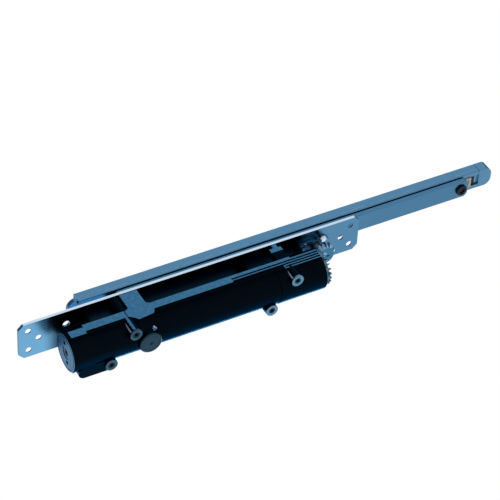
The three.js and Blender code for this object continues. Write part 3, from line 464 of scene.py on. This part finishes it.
def surface(
    name, base, cloudy, rubbed, metallic, rough,
    stretch=EVEN, scale=900, depth=0.2, spread=0.15, worn=(0.72, 0.95), specular=0.5, tint=(1, 1, 1),
    specks=None, cloud=14,
):
    """A finish: base and cloudy colours mixed by handling marks, rubbed brighter at the edges."""
    material = bpy.data.materials.new(name)
    material.use_nodes = True
    tree = material.node_tree
    shader = tree.nodes["Principled BSDF"]
    shader.inputs["Metallic"].default_value = metallic
    shader.inputs["Specular IOR Level"].default_value = specular
    shader.inputs["Specular Tint"].default_value = (*tint, 1)
    marks = place_group(tree, HANDLING, Cloud=cloud)
    grain = place_group(
        tree, GRAIN, Stretch=stretch, Scale=scale, Depth=depth, Roughness=rough, Spread=spread
    )
    edges = place_group(tree, WEAR, Low=worn[0], High=worn[1])
    colour = mixed(tree, marks.outputs["Cloud"], (*base, 1), (*cloudy, 1))
    fine = mask_between(tree, grain.outputs["Mask"], 0.35, 0.75)
    darker, lighter = ([share * value for value in base] for share in (0.9, 1.08))
    shade = mixed(tree, fine, (*darker, 1), (*lighter, 1))
    half = add(tree, "ShaderNodeMix", data_type="RGBA")
    half.inputs["Factor"].default_value = 0.5
    tree.links.new(colour, half.inputs[6])
    tree.links.new(shade, half.inputs[7])
    colour = half.outputs[2]
    if specks:
        colour = mixed(tree, marks.outputs["Speck"], colour, (*specks, 1))
    colour = mixed(tree, edges.outputs["Mask"], colour, (*rubbed, 1))
    tree.links.new(colour, shader.inputs["Base Color"])
    tree.links.new(grain.outputs["Roughness"], shader.inputs["Roughness"])
    tree.links.new(grain.outputs["Normal"], shader.inputs["Normal"])
    return material


zinc_steel = surface(
    "blued zinc steel", (0.11, 0.26, 0.40), (0.125, 0.28, 0.42), (0.55, 0.7, 0.82), 1.0, 0.27,
    stretch=ALONG_TUBE, scale=1400, depth=0.03, spread=0.05,
)
arm_steel = surface(
    "blued arm steel", (0.075, 0.205, 0.33), (0.09, 0.23, 0.36), (0.55, 0.7, 0.82), 1.0, 0.26,
    stretch=ALONG_TUBE, scale=1400, depth=0.03, spread=0.05,
)
enamel = surface(
    "black enamel", (0.0018, 0.004, 0.007), (0.0025, 0.0055, 0.009), (0.03, 0.08, 0.13), 1.0, 0.33,
    scale=500, depth=0.05, spread=0.1, tint=(0.3, 0.62, 0.92),
)
milled_face = surface(
    "milled face", (0.05, 0.18, 0.31), (0.095, 0.27, 0.43), (0.3, 0.48, 0.62), 1.0, 0.4,
    scale=600, depth=0.5, spread=0.3, specks=(0.13, 0.3, 0.45), cloud=260,
)
dark_zinc = surface(
    "dark zinc", (0.012, 0.042, 0.066), (0.016, 0.05, 0.076), (0.12, 0.24, 0.34), 0.9, 0.4,
    scale=900, depth=0.15, spread=0.1,
)
bright_steel = surface(
    "bright turned steel", (0.30, 0.46, 0.60), (0.26, 0.41, 0.55), (0.7, 0.8, 0.88), 1.0, 0.2,
    scale=1100, depth=0.1, spread=0.1,
)
sleeve_steel = surface(
    "turned sleeve steel", (0.11, 0.26, 0.38), (0.10, 0.24, 0.35), (0.4, 0.6, 0.72), 1.0, 0.26,
    scale=1100, depth=0.06, spread=0.08,
)
# A darker copy of the sleeve steel: painted shade for sleeves a and b.
shaded_sleeve_steel = surface(
    "dull sleeve steel", (0.03, 0.085, 0.125), (0.035, 0.095, 0.14), (0.3, 0.5, 0.62), 1.0, 0.3,
    scale=1100, depth=0.06, spread=0.08,
)
# A copy of the blued zinc steel for the plate's underside; painted shade is mixed into it further down.
shaded_plate_underside = surface(
    "blued zinc steel, handled underside",
    (0.11, 0.26, 0.40), (0.125, 0.28, 0.42), (0.55, 0.7, 0.82), 1.0, 0.27,
    stretch=ALONG_TUBE, scale=1400, depth=0.03, spread=0.05, tint=(0.25, 0.4, 0.55),
)
polished_steel = surface(
    "polished steel", (0.75, 0.82, 0.88), (0.68, 0.76, 0.83), (0.9, 0.94, 0.97), 1.0, 0.16,
    scale=1100, depth=0.03, spread=0.05,
)
black_oxide = surface(
    "black oxide", (0.005, 0.008, 0.012), (0.008, 0.012, 0.017), (0.08, 0.13, 0.18), 0.5, 0.32,
    scale=900, depth=0.12, spread=0.12, specular=0.3,
)
oiled_steel = surface(
    "oiled steel", (0.12, 0.15, 0.19), (0.08, 0.10, 0.13), (0.4, 0.45, 0.5), 1.0, 0.3,
    stretch=ALONG_TUBE, scale=900, depth=0.15, spread=0.15,
)
sintered_bronze = surface(
    "sintered bronze", (0.42, 0.28, 0.11), (0.3, 0.19, 0.07), (0.7, 0.52, 0.25), 1.0, 0.42,
    scale=2200, depth=0.4, spread=0.2, specks=(0.12, 0.08, 0.04),
)
seal_rubber = surface(
    "seal rubber", (0.012, 0.012, 0.013), (0.02, 0.02, 0.021), (0.03, 0.03, 0.03), 0.0, 0.75,
    scale=1500, depth=0.3, spread=0.2,
)
moulded_block = surface(
    "moulded block", (0.42, 0.39, 0.31), (0.36, 0.34, 0.27), (0.55, 0.52, 0.44), 0.0, 0.42,
    scale=1200, depth=0.25, spread=0.15, specks=(0.22, 0.2, 0.16),
)


# ---------------------------------------------------------------- mounting plate

def screw_hole(x, y, z0, z1, radius, head):
    """A countersunk hole, wide at the top."""
    cone = head - radius
    return turned("hole", [(radius, z0 - 1), (radius, z1 - cone), (head + 0.6, z1 + 0.6)], (x, y, 0), 48)


def middle_of(node):
    low, high = box_mm(node)
    return [(a + b) / 2 for a, b in zip(low, high)]


LUG_MARKS = "abcd"
lug_places = {mark: middle_of(f"lug_sleeve_{mark}") for mark in LUG_MARKS}
PINION = middle_of("adjuster_pinion")
VALVES = ("closing_speed_valve", "latching_speed_valve")
BRACKET_SCREWS = ("bracket_screw_1", "bracket_screw_2")


PLATE_FINISHES = {"underside": 2, "hole wall shade": 3}


def mounting_plate():
    left, right = plate_low[0], plate_high[0]
    half = plate_high[1]
    under = plate_low[2]
    sheet = block("mounting_plate_steel", (left, right), (-half, half), (under, 0))
    edit(sheet, "EDGE")
    choose(sheet, "edges", lambda middle, ends: abs(ends[0].x - ends[1].x) + abs(ends[0].y - ends[1].y) < 1)
    bpy.ops.mesh.bevel(offset=5 * MM, segments=1)
    let_go()
    holes = []
    for end, inward in ((left, 1), (right, -1)):
        outer = end + inward * 9.5
        spots = ((outer, 11.5), (outer, -11.5), (outer + inward * 10, 0))
        holes += [screw_hole(x, y, under, 0, 2.8, 4.8) for x, y in spots]
    for name in [f"fixing_screw_{mark}" for mark in LUG_MARKS] + list(BRACKET_SCREWS):
        x, y, _ = middle_of(name)
        holes.append(screw_hole(x, y, under, 0, 2.4, 4.7))
    for name in VALVES:
        low, high = box_mm(name)
        x, y, _ = middle_of(name)
        holes.append(post("key hole", x, y, (high[0] - low[0]) / 2 + 1, under - 1, 1))
    holes.append(post("spindle hole", 0, 0, 9.8, under - 1, 1, 96))
    holes.append(post("pinion hole", PINION[0], 0, 4.6, under - 1, 1))
    cut(sheet, *holes)
    tidy_mesh(sheet)
    ease(sheet, 0.3)
    # Painted highlight: the plate's long edge faces take polished steel, a bright line along each edge.
    paint(
        sheet, zinc_steel, polished_steel,
        lambda x, y, z, normal: abs(normal.y) > 0.6 and abs(y) > half - 0.35,
    )
    # Slot 2 carries the underside's painted shade, slot 3 the painted shade in the hole walls.
    sheet.data.materials.append(shaded_plate_underside)
    sheet.data.materials.append(black_oxide)
    for face in sheet.data.polygons:
        x, y, z = (value / MM for value in face.center)
        if face.normal.z < -0.9:
            face.material_index = PLATE_FINISHES["underside"]
        # Painted shade: hole walls right of the body take black oxide, so the holes show dark rings.
        if abs(face.normal.z) < 0.3 and body_high[0] + 20 < x < right - 1 and abs(y) < half - 1:
            face.material_index = PLATE_FINISHES["hole wall shade"]
    return sheet


# Painted shade and painted reflection: the plate's underside goes almost black along the body's length,
# where the body shades it and shows dark in it.
paint_shade_along_tube(shaded_plate_underside, body_low[0] - 4, body_high[0] + 3, (0.006, 0.012, 0.018))
fit(mounting_plate(), BODY, "bare_steel", zinc_steel, "mounting_plate")


# ---------------------------------------------------------------- housing

RIGHT_RAIL_X = body_high[0] - 38
RAIL_TOP_Z = AXIS_Z + 7.35
# The pad beside lug C is machined above this height, just under the collars' top.
PAD_FACE_Z = AXIS_Z + COLLAR_R - 1
# Each flute's height over the tube's axis, and where it starts.
FLUTES = ((-0.2, body_high[0] - 90), (2.9, body_high[0] - 90), (-3.3, RIGHT_RAIL_X + 1))
FLUTE_R = 1.05
LUG_WALL = (5.8, 6.6)  # distances from a lug's axis that hold its wall; the painted highlight goes between them
LUG_HIGHLIGHT_SLOT = 2


def milled(x, y, z, normal):
    """The housing's machined faces: the side rails, the tower's cheeks and the two ends."""
    off = abs(abs(y) - RAIL_Y)
    lug = any(abs(x - place[0]) < LUG_WALL[1] and abs(y - place[1]) < 7 for place in lug_places.values())
    on_rail = AXIS_Z - 6 < z < AXIS_Z + 7.8
    tower = -8.3 < x < 14 and z > AXIS_Z + 6
    boss = -12.2 < x < 17 and AXIS_Z - 12 < z < AXIS_Z
    fluted = x > RIGHT_RAIL_X - 54 and on_rail
    on_face = off < 0.03 or (off < 0.12 and fluted) or (off < 0.9 and not lug and (boss or tower))
    flat = abs(normal.y) > 0.6 and on_face
    end = abs(normal.x) > 0.9 and (x < body_low[0] + 0.4 or x > body_high[0] - 0.4)
    pad = x > RIGHT_RAIL_X - 4 and z > PAD_FACE_Z and off < 0.03
    return end or pad or (flat and (on_rail or tower or boss))


def lug_wall_painted_highlight(x, y, z, normal):
    """Painted highlight: a polished finish on the lower walls of lugs a and c, only on the side that faces
    out and to the left.
    """
    front = [lug_places[mark] for mark in "ac"]
    near, far = LUG_WALL
    lug = any(near < ((x - place[0]) ** 2 + (y - place[1]) ** 2) ** 0.5 < far for place in front)
    return lug and z < AXIS_Z - 11 and abs(normal.z) < 0.2 and normal.y < -0.2 and -0.85 < normal.x < 0


def housing():
    piece = copied("housing", "housing_casting", 0.2)
    flutes = []
    for side in (-1, 1):
        for height, start in FLUTES:
            y = side * (RAIL_Y + 0.35)
            flutes.append(bar("flute", start, body_high[0] + 1, FLUTE_R, y, AXIS_Z + height, 12))
    cut(piece, *flutes)
    tidy_mesh(piece, 0.2)
    for height in (RAIL_TOP_Z, PAD_FACE_Z):
        edit(piece)
        bpy.ops.mesh.select_all(action="SELECT")
        bpy.ops.mesh.bisect(plane_co=(0, 0, height * MM), plane_no=(0, 0, 1))
        let_go()
    ease(piece, 0.35, smooth=30)
    paint(piece, enamel, milled_face, milled)
    # A third slot carries the painted highlight on the front lugs' walls.
    piece.data.materials.append(polished_steel)
    for face in piece.data.polygons:
        if lug_wall_painted_highlight(*(value / MM for value in face.center), face.normal):
            face.material_index = LUG_HIGHLIGHT_SLOT
    return piece


fit(housing(), BODY, "cast_body", enamel, "housing")


# ---------------------------------------------------------------- end cap, filler plug and bottom cap

def end_cap():
    front = cap_low[0]
    flange = body_low[0] - 0.3
    cap = turned("end_cap_turned", [
        (15.7, flange + 3.3), (15.7, flange + 2.5), (13.7, flange + 2.5),
        (13.7, flange + 0.7), (15.7, flange + 0.7), (15.7, flange),
        (COLLAR_R, flange), (COLLAR_R, front + 0.9), (COLLAR_R - 0.9, front),
        (16.9, front), (16.7, front + 0.25), (16.2, front + 0.25), (16.0, front),
        (6.6, front), (6.3, front + 0.5), (5.2, front + 0.5),
    ], (0, 0, AXIS_Z), 96, "X")
    turn = -0.26
    reach = 10.3
    holes = []
    for side in (-1, 1):
        y, z = side * reach * cos(turn), AXIS_Z + side * reach * sin(turn)
        holes.append(bar("spanner hole", front - 1, front + 4, 2.1, y, z, 32))
    holes.append(bar("filler hole", front - 1, front + 5, 3.4, 0, AXIS_Z, 48))
    cut(cap, *holes)
    tidy_mesh(cap)
    ease(cap, 0.18)
    return paint(cap, milled_face, enamel, lambda x, y, z, normal: abs(normal.x) < 0.85 or x > front + 1.2)


def filler_plug():
    front = cap_low[0] + 0.4
    plug = turned("filler_plug_turned", [
        (3.1, front + 4.3), (3.1, front + 0.5), (2.7, front + 0.05), (2.3, front), (2.2, front + 0.15),
    ], (0, 0, AXIS_Z), 48, "X")
    cut(plug, bar("socket", front - 1, front + 2.2, 1.7, 0, AXIS_Z, 6))
    return ease(plug, 0.08)


def bottom_cap():
    low, high = box_mm("bottom_cap")
    radius = high[0]
    cap = turned("bottom_cap_turned", [
        (8.3, high[2]), (8.3, high[2] - 0.6), (radius, high[2] - 0.6),
        (radius, low[2] + 0.8), (radius - 0.8, low[2]), (8.4, low[2]),
        (8.2, low[2] + 0.2), (7.7, low[2] + 0.2), (7.5, low[2]),
        (2.6, low[2]), (2.3, low[2] + 0.3),
    ], (0, 0, 0), 72)
    cut(cap, post("socket", 0, 0, 1.6, low[2] - 1, low[2] + 0.9, 6))
    return ease(cap, 0.1)


fit(end_cap(), BODY, "machined_alloy", milled_face, "end_cap")
fit(filler_plug(), BODY, "black_steel", black_oxide, "filler_plug")
fit(bottom_cap(), BODY, "cap_steel", dark_zinc, "bottom_cap")


# ---------------------------------------------------------------- sleeves and screws

def sleeve(name, x, y):
    low, high = box_mm("lug_sleeve_a")
    radius = (high[0] - low[0]) / 2
    bottom, top = low[2], high[2]
    shoulder = bottom + 1.7
    piece = turned(name, [
        (4.2, top), (4.2, shoulder), (radius, shoulder),
        (radius, bottom + 0.55), (radius - 0.2, bottom + 0.2), (radius - 0.6, bottom),
        (4.5, bottom), (4.3, bottom + 0.15), (3.8, bottom + 0.15),
        (3.4, bottom + 0.5), (3.02, bottom + 0.5), (3.0, top - 0.2),
    ], (x, y, 0), 64)
    return ease(piece, 0.08)


def sleeve_screw(name, x, y):
    low, high = box_mm("sleeve_screw_a")
    radius = (high[0] - low[0]) / 2
    piece = turned(name, [
        (radius, high[2]), (radius, low[2] + 0.4), (radius - 0.25, low[2] + 0.05), (radius - 0.5, low[2]),
    ], (x, y, 0), 48)
    cut(piece, post("socket", x, y, 1.9, low[2] - 1, low[2] + 2.3, 6))
    return ease(piece, 0.08)


def countersunk_screw(name, node):
    low, high = box_mm(node)
    x, y, _ = middle_of(node)
    head = (high[0] - low[0]) / 2
    shank = 2.1
    top = high[2]
    piece = turned(name, [
        (shank - 0.4, low[2]), (shank, low[2] + 0.4), (shank, top - head + shank), (head - 0.1, top - 0.15),
        (head - 0.2, top),
    ], (x, y, 0), 48)
    cut(piece, post("socket", x, y, 1.8, top - 2, top + 1, 6))
    return ease(piece, 0.08)


lugs = [lug_places[mark] for mark in LUG_MARKS]
sleeve_names = [f"sleeve_{mark}" for mark in LUG_MARKS]
sleeves = copies(sleeve(sleeve_names[0], *lugs[0][:2]), sleeve_names, lugs)
for mark, piece in zip(LUG_MARKS, sleeves):
    # Painted shade: sleeves a and b take the darker copy of the sleeve steel.
    finish = shaded_sleeve_steel if mark in "ab" else sleeve_steel
    fit(piece, BODY, "bright_steel", finish, f"lug_sleeve_{mark}")

sleeve_screw_names = [f"sleeve_screw_{mark}_turned" for mark in LUG_MARKS]
sleeve_screws = copies(sleeve_screw(sleeve_screw_names[0], *lugs[0][:2]), sleeve_screw_names, lugs)
for mark, piece in zip(LUG_MARKS, sleeve_screws):
    fit(piece, BODY, "black_steel", black_oxide, f"sleeve_screw_{mark}")

for nodes in ([f"fixing_screw_{mark}" for mark in LUG_MARKS], BRACKET_SCREWS):
    names = [f"{node}_turned" for node in nodes]
    screws = copies(countersunk_screw(names[0], nodes[0]), names, [middle_of(node) for node in nodes])
    for node, piece in zip(nodes, screws):
        fit(piece, BODY, "bright_steel", bright_steel, node)


def bleed_plug():
    low, high = box_mm("bleed_plug")
    x, y, _ = middle_of("bleed_plug")
    plug = turned("bleed_plug_turned", [
        (2.2, high[2]), (2.2, low[2] + 0.35), (1.9, low[2]), (1.7, low[2]), (1.6, low[2] + 0.1),
    ], (x, y, 0), 32)
    cut(plug, post("socket", x, y, 1.2, low[2] - 1, low[2] + 1.1, 6))
    return ease(plug, 0.06)


def valve_screw(node):
    low, high = box_mm(node)
    x, y, _ = middle_of(node)
    top = high[2]
    screw = turned(f"{node}_turned", [
        (2.2, low[2]), (2.6, low[2] + 0.5), (2.6, top - 0.4), (2.3, top), (2.0, top),
    ], (x, y, 0), 40)
    cut(screw, block("slot", (x - 4, x + 4), (y - 0.45, y + 0.45), (top - 1.1, top + 1)))
    for step in range(3):
        z = top - 1.9 - step * 0.9
        groove = turned("groove", [(3.2, z), (3.2, z + 0.3)], (x, y, 0), 40)
        cut(groove, post("core", x, y, 2.4, z - 1, z + 1, 40))
        cut(screw, groove)
    return ease(screw, 0.06)


fit(bleed_plug(), BODY, "bright_steel", bright_steel, "bleed_plug")
valve_names = [f"{node}_turned" for node in VALVES]
valve_screws = copies(valve_screw(VALVES[0]), valve_names, [middle_of(node) for node in VALVES])
for node, piece in zip(VALVES, valve_screws):
    fit(piece, node, "bright_steel", bright_steel, node)


# ---------------------------------------------------------------- arm, its screws and the spindle

def arm():
    left, right = 0, arm_high[0]
    half = arm_high[1]
    low, top = arm_low[2], arm_high[2]
    piece = block("arm_flat_bar", (left, right), (-half, half), (low, top))
    edit(piece, "EDGE")
    choose(piece, "edges", lambda middle, ends: middle.x > right - 1 and abs(ends[0].z - ends[1].z) > 1)
    bpy.ops.mesh.bevel(offset=3 * MM, segments=1)
    let_go()
    join(piece, post("round end", 0, 0, half, low, top, 96))
    hole = 4.5
    cut(
        piece,
        block("square hole", (-hole, hole), (-hole, hole), (low - 1, top + 1)),
        post("screw recess", 0, 0, 6.1, top - 2.4, top + 1),
        post("pivot hole", PIVOT_X, 0, 3.8, low - 1, top + 1),
    )
    tidy_mesh(piece)
    return ease(piece, 0.45, 3)


def arm_screw():
    low, high = box_mm("arm_screw")
    top = high[2]
    screw = turned("arm_screw_turned", [
        (2.5, low[2]), (2.5, top - 2), (5.8, top - 2), (5.8, top - 0.4), (5.4, top), (5.0, top),
    ], sides=64)
    cut(screw, post("socket", 0, 0, 2.3, top - 1.6, top + 1, 6))
    return ease(screw, 0.1)


def pivot_screw():
    low, high = pivot_low, pivot_high
    head = (high[0] - low[0]) / 2
    top, bottom = high[2], low[2]
    shoulder = bottom + 2
    screw = turned("pivot_screw_turned", [
        (2.9, top), (3.5, top - 0.6), (3.5, shoulder), (head, shoulder), (head, bottom + 0.6),
        (head - 0.25, bottom + 0.15), (head - 0.7, bottom), (4.0, bottom), (3.8, bottom + 0.15),
    ], (PIVOT_X, 0, 0), 64)
    cut(screw, post("socket", PIVOT_X, 0, 3.4, bottom - 1, bottom + 1.3, 6))
    return ease(screw, 0.1)


fit(arm(), SWING, "bare_steel", arm_steel, "arm")
fit(arm_screw(), SWING, "black_steel", black_oxide, "arm_screw")
fit(pivot_screw(), SWING, "black_steel", black_oxide, "pivot_screw")
fit(ease(copied("cam_shaft", "cam_shaft_ground"), 0.15), SWING, "bright_steel", bright_steel, "cam_shaft")


# ---------------------------------------------------------------- spring adjuster

crown = ease(copied("crown_gear", "crown_gear_cut"), 0.12)
crown_face = box_mm("crown_gear")[1][0]
paint(crown, dark_zinc, bright_steel, lambda x, y, z, normal: normal.x > 0.8 and x > crown_face - 0.4)
fit(crown, "adjusting_screw", "bright_steel", bright_steel, "crown_gear")
pinion = ease(copied("adjuster_pinion", "adjuster_pinion_cut"), 0.12)
pinion_low = box_mm("adjuster_pinion")[0][2]
paint(pinion, milled_face, bright_steel, lambda x, y, z, normal: z > pinion_low + 0.4)
fit(pinion, "adjuster_pinion", "machined_alloy", milled_face, "adjuster_pinion")
bracket = ease(copied("adjuster_bracket", "adjuster_bracket_bent"), 0.3)
fit(bracket, BODY, "bare_steel", zinc_steel, "adjuster_bracket")
pinion_bush = ease(copied("pinion_bush", "pinion_bush_turned"), 0.15)
fit(pinion_bush, BODY, "bronze", sintered_bronze, "pinion_bush")


def stop_screw():
    """The domed screw that hangs from the plate, halfway between the pinion's rim and the plate's edge."""
    rim = box_mm("adjuster_pinion")[0][1]
    x, y = PINION[0], (rim + plate_low[1]) / 2
    low = box_mm("crown_gear")[1][2]
    screw = turned("pinion_stop_screw", [
        (1.6, plate_low[2] - 0.05), (1.6, low + 2), (3.7, low + 2), (3.7, low + 1.4), (3.5, low + 0.7),
        (3, low), (2.2, low - 0.55), (1.1, low - 0.85),
    ], (x, y, 0), 40)
    ease(screw, 0.04, 1, 60, 60)
    return paint(screw, black_oxide, polished_steel, lambda x, y, z, normal: z < low + 1.9)


fit(stop_screw(), BODY, "bright_steel", polished_steel)


# ---------------------------------------------------------------- slide channel and block

def slide_channel():
    left, right = channel_low[0], channel_high[0]
    half = channel_high[1]
    low, top = channel_low[2], channel_high[2]
    wall = 1.6
    piece = block("slide_channel_rolled", (left, right), (-half, half), (low, top))
    edit(piece, "EDGE")
    choose(piece, "edges", lambda middle, ends: abs(ends[0].x - ends[1].x) > 1)
    bpy.ops.mesh.bevel(offset=0.7 * MM, segments=3)
    let_go()
    inside = half - wall
    cut(
        piece,
        block("hollow", (left - 1, right + 1), (-inside, inside), (low + wall, top - wall)),
        block("slot", (left - 1, right + 1), (-6, 6), (low - 1, low + wall + 1)),
    )
    for x in (left + 18, (left + right) / 2, right - 22):
        cut(piece, post("roof hole", x, 0, 2.6, top - wall - 1, top + 1))
    for side in (-1, 1):
        cut(piece, bar("side line", left - 1, right + 1, 0.35, side * (half + 0.15), low + 3.1, 12))
    tidy_mesh(piece, 0.2)
    return ease(piece, 0.2)


def slide_block():
    left, right = block_low[0], block_high[0]
    half = block_high[1]
    low, top = block_low[2], block_high[2]
    step = channel_low[2] + 1.9
    piece = block("slide_block_moulded", (left, right), (-half, half), (step, top))
    join(piece, block("neck", (left, right), (-5.7, 5.7), (low, step + 1)))
    cut(piece, post("bush hole", PIVOT_X, 0, 5.5, low - 1, top + 1, 64))
    for x in (left + 3.6, right - 3.6):
        cut(piece, block("oil groove", (x - 0.7, x + 0.7), (-4.2, 4.2), (low - 1, low + 0.8)))
    tidy_mesh(piece)
    return ease(piece, 0.3)


fit(slide_channel(), TRACK, "bare_steel", zinc_steel, "slide_channel")
fit(slide_block(), "slide_block", "block_plastic", moulded_block, "slide_block")
block_bush = ease(copied("block_bush", "block_bush_turned"), 0.15)
fit(block_bush, "slide_block", "bronze", sintered_bronze, "block_bush")
for end in ("channel_end_right", "channel_end_left"):
    fit(ease(copied(end, f"{end}_cast"), 0.4, 3), TRACK, "bare_steel", zinc_steel, end)


# ---------------------------------------------------------------- springs

def wound_spring(name, node, wire, coils, start, end):
    """Round wire wound along the tube's axis from start to end, as wide as the frame's spring."""
    low, high = box_mm(node)
    coil = (high[2] - low[2]) / 2 - wire
    let_go()
    bpy.ops.mesh.primitive_circle_add(
        vertices=14,
        radius=wire * MM,
        fill_type="NOTHING",
        location=(0, 0, coil * MM),
        rotation=(pi / 2, 0, 0),
    )
    piece = settle(bpy.context.object, name)
    pick(piece)
    winding = piece.modifiers.new("winding", "SCREW")
    winding.axis = "X"
    winding.iterations = coils
    winding.screw_offset = (end - start - 2 * wire) / coils * MM
    winding.steps = 28
    winding.render_steps = 28
    bpy.ops.object.modifier_apply(modifier=winding.name)
    edit(piece, "EDGE")
    bpy.ops.mesh.select_non_manifold(extend=False)
    bpy.ops.mesh.edge_face_add()
    bpy.ops.mesh.select_all(action="SELECT")
    bpy.ops.mesh.normals_make_consistent(inside=False)
    let_go()
    piece.location = ((start + wire) * MM, 0, AXIS_Z * MM)
    settle(piece)
    bpy.ops.object.shade_smooth_by_angle(angle=radians(50))
    return piece


# The closing spring is wound in two halves, one carried by the piston and one by the seat.
# A row is the half's name, body, joint, start, end, and the end that is held.
CLOSING_WIRE_R = 2
COILS_IN_HALF = 5
RETURN_WIRE_R = 1
RETURN_COILS = 4
spring_left, spring_right = (corner[0] for corner in box_mm("closing_spring"))
spring_middle = (spring_left + spring_right) / 2
HALVES = (
    ("piston_half", "spring_piston", "spring_piston_slide", spring_left, spring_middle, spring_left),
    ("seat_half", "spring_seat", "spring_seat_slide", spring_middle, spring_right, spring_right),
)
for label, body, joint, start, end, held in HALVES:
    half = wound_spring(
        f"closing_spring_{label}", "closing_spring", CLOSING_WIRE_R, COILS_IN_HALF, start, end
    )
    nodes = ["closing_spring"] if body == "spring_piston" else []
    fit(half, body, "spring_steel", oiled_steel, *nodes)
    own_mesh(half)

return_left, return_right = (corner[0] for corner in box_mm("return_spring"))
returning = wound_spring(
    "return_spring_wound", "return_spring", RETURN_WIRE_R, RETURN_COILS, return_left, return_right
)
fit(returning, BODY, "spring_steel", oiled_steel, "return_spring")


# ---------------------------------------------------------------- finishes of the frame's own nodes

KEPT = {
    "end_cap_seal": seal_rubber,
    "spindle_seal": seal_rubber,
    "top_bearing": sintered_bronze,
    "bottom_bearing": sintered_bronze,
    "spring_piston": oiled_steel,
    "damping_piston": oiled_steel,
    "spring_roller": bright_steel,
    "spring_roller_pin": bright_steel,
    "damping_roller": bright_steel,
    "damping_roller_pin": bright_steel,
    "piston_ring": seal_rubber,
    "check_ball": bright_steel,
    "spring_seat": oiled_steel,
    "spring_cap": oiled_steel,
    "adjusting_screw": bright_steel,
    "channel_buffer": seal_rubber,
}
for node, material in KEPT.items():
    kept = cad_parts[node]
    kept.data.materials.clear()
    kept.data.materials.append(material)


# ---------------------------------------------------------------- studio

CAMERA_PLACE = Vector((-0.70515, -1.47228, -1.40247))
CAMERA_LOOKS = Vector((0.38165902, 0.66508276, 0.64187329))
CAMERA_UP = Vector((0.28737273, -0.74540618, 0.60148694))
LENS = 169.84
SENSOR = 36
FLOOR_Z = -1.75
MIDDLE = Vector((0.15, 0, 0))


def camera():
    data = bpy.data.cameras.new("camera")
    data.lens = LENS
    data.sensor_width = SENSOR
    data.clip_start = 0.05
    data.clip_end = 50
    made = bpy.data.objects.new("camera", data)
    bpy.context.scene.collection.objects.link(made)
    back = -CAMERA_LOOKS.normalized()
    right = CAMERA_UP.cross(back).normalized()
    up = back.cross(right)
    made.matrix_world = Matrix.Translation(CAMERA_PLACE) @ Matrix((right, up, back)).transposed().to_4x4()
    bpy.context.scene.camera = made


def floor():
    let_go()
    bpy.ops.mesh.primitive_plane_add(size=80, location=(0.15, 0, FLOOR_Z))
    made = settle(bpy.context.object, "studio_floor")
    material = bpy.data.materials.new("pale floor")
    material.use_nodes = True
    shader = material.node_tree.nodes["Principled BSDF"]
    shader.inputs["Base Color"].default_value = (0.2, 0.2, 0.2, 1)
    shader.inputs["Roughness"].default_value = 0.8
    shader.inputs["Emission Color"].default_value = (0.90, 0.94, 1, 1)
    shader.inputs["Emission Strength"].default_value = 0.72
    made.data.materials.append(material)


def softbox(name, direction, distance, size, radiance, colour=(1, 1, 1)):
    """A soft lamp that faces the object's middle, its power set from how bright its face should look."""
    data = bpy.data.lights.new(name, "AREA")
    data.shape = "RECTANGLE"
    data.size, data.size_y = size
    data.energy = radiance * pi * size[0] * size[1]
    data.color = colour
    made = bpy.data.objects.new(name, data)
    bpy.context.scene.collection.objects.link(made)
    made.location = MIDDLE + Vector(direction).normalized() * distance
    made.rotation_euler = (MIDDLE - made.location).to_track_quat("-Z", "Y").to_euler()
    made.visible_camera = False


def sky():
    world = bpy.data.worlds.new("studio sky")
    bpy.context.scene.world = world
    world.use_nodes = True
    tree = world.node_tree
    plain = tree.nodes["Background"]
    plain.inputs["Color"].default_value = (0.6, 0.75, 0.9, 1)
    plain.inputs["Strength"].default_value = 0.28
    white = tree.nodes.new("ShaderNodeBackground")
    white.inputs["Color"].default_value = (1, 1, 1, 1)
    seen = tree.nodes.new("ShaderNodeLightPath")
    mix = tree.nodes.new("ShaderNodeMixShader")
    tree.links.new(seen.outputs["Is Camera Ray"], mix.inputs["Fac"])
    tree.links.new(plain.outputs[0], mix.inputs[1])
    tree.links.new(white.outputs[0], mix.inputs[2])
    tree.links.new(mix.outputs[0], tree.nodes["World Output"].inputs["Surface"])


camera()
floor()
sky()
COOL = (0.85, 0.93, 1)
softbox("front above", (0.38, -0.66, 0.64), 1.7, (2.2, 1.3), 0.72, COOL)
softbox("behind below", (0.5, 0.66, -0.62), 1.6, (1.8, 1.1), 0.2, COOL)
softbox("behind below left", (0.1, 0.7, -0.62), 1.5, (0.4, 0.9), 0.9)
softbox("behind above left", (-0.42, 0.66, 0.62), 1.6, (2.0, 1.6), 0.7, COOL)
softbox("behind above", (0.38, 0.72, 0.5), 2.2, (2.2, 1.8), 3.2, COOL)
softbox("right side", (1, -0.25, 0.1), 1.8, (1.6, 1.2), 0.7, COOL)
bpy.context.scene.view_settings.view_transform = "Standard"
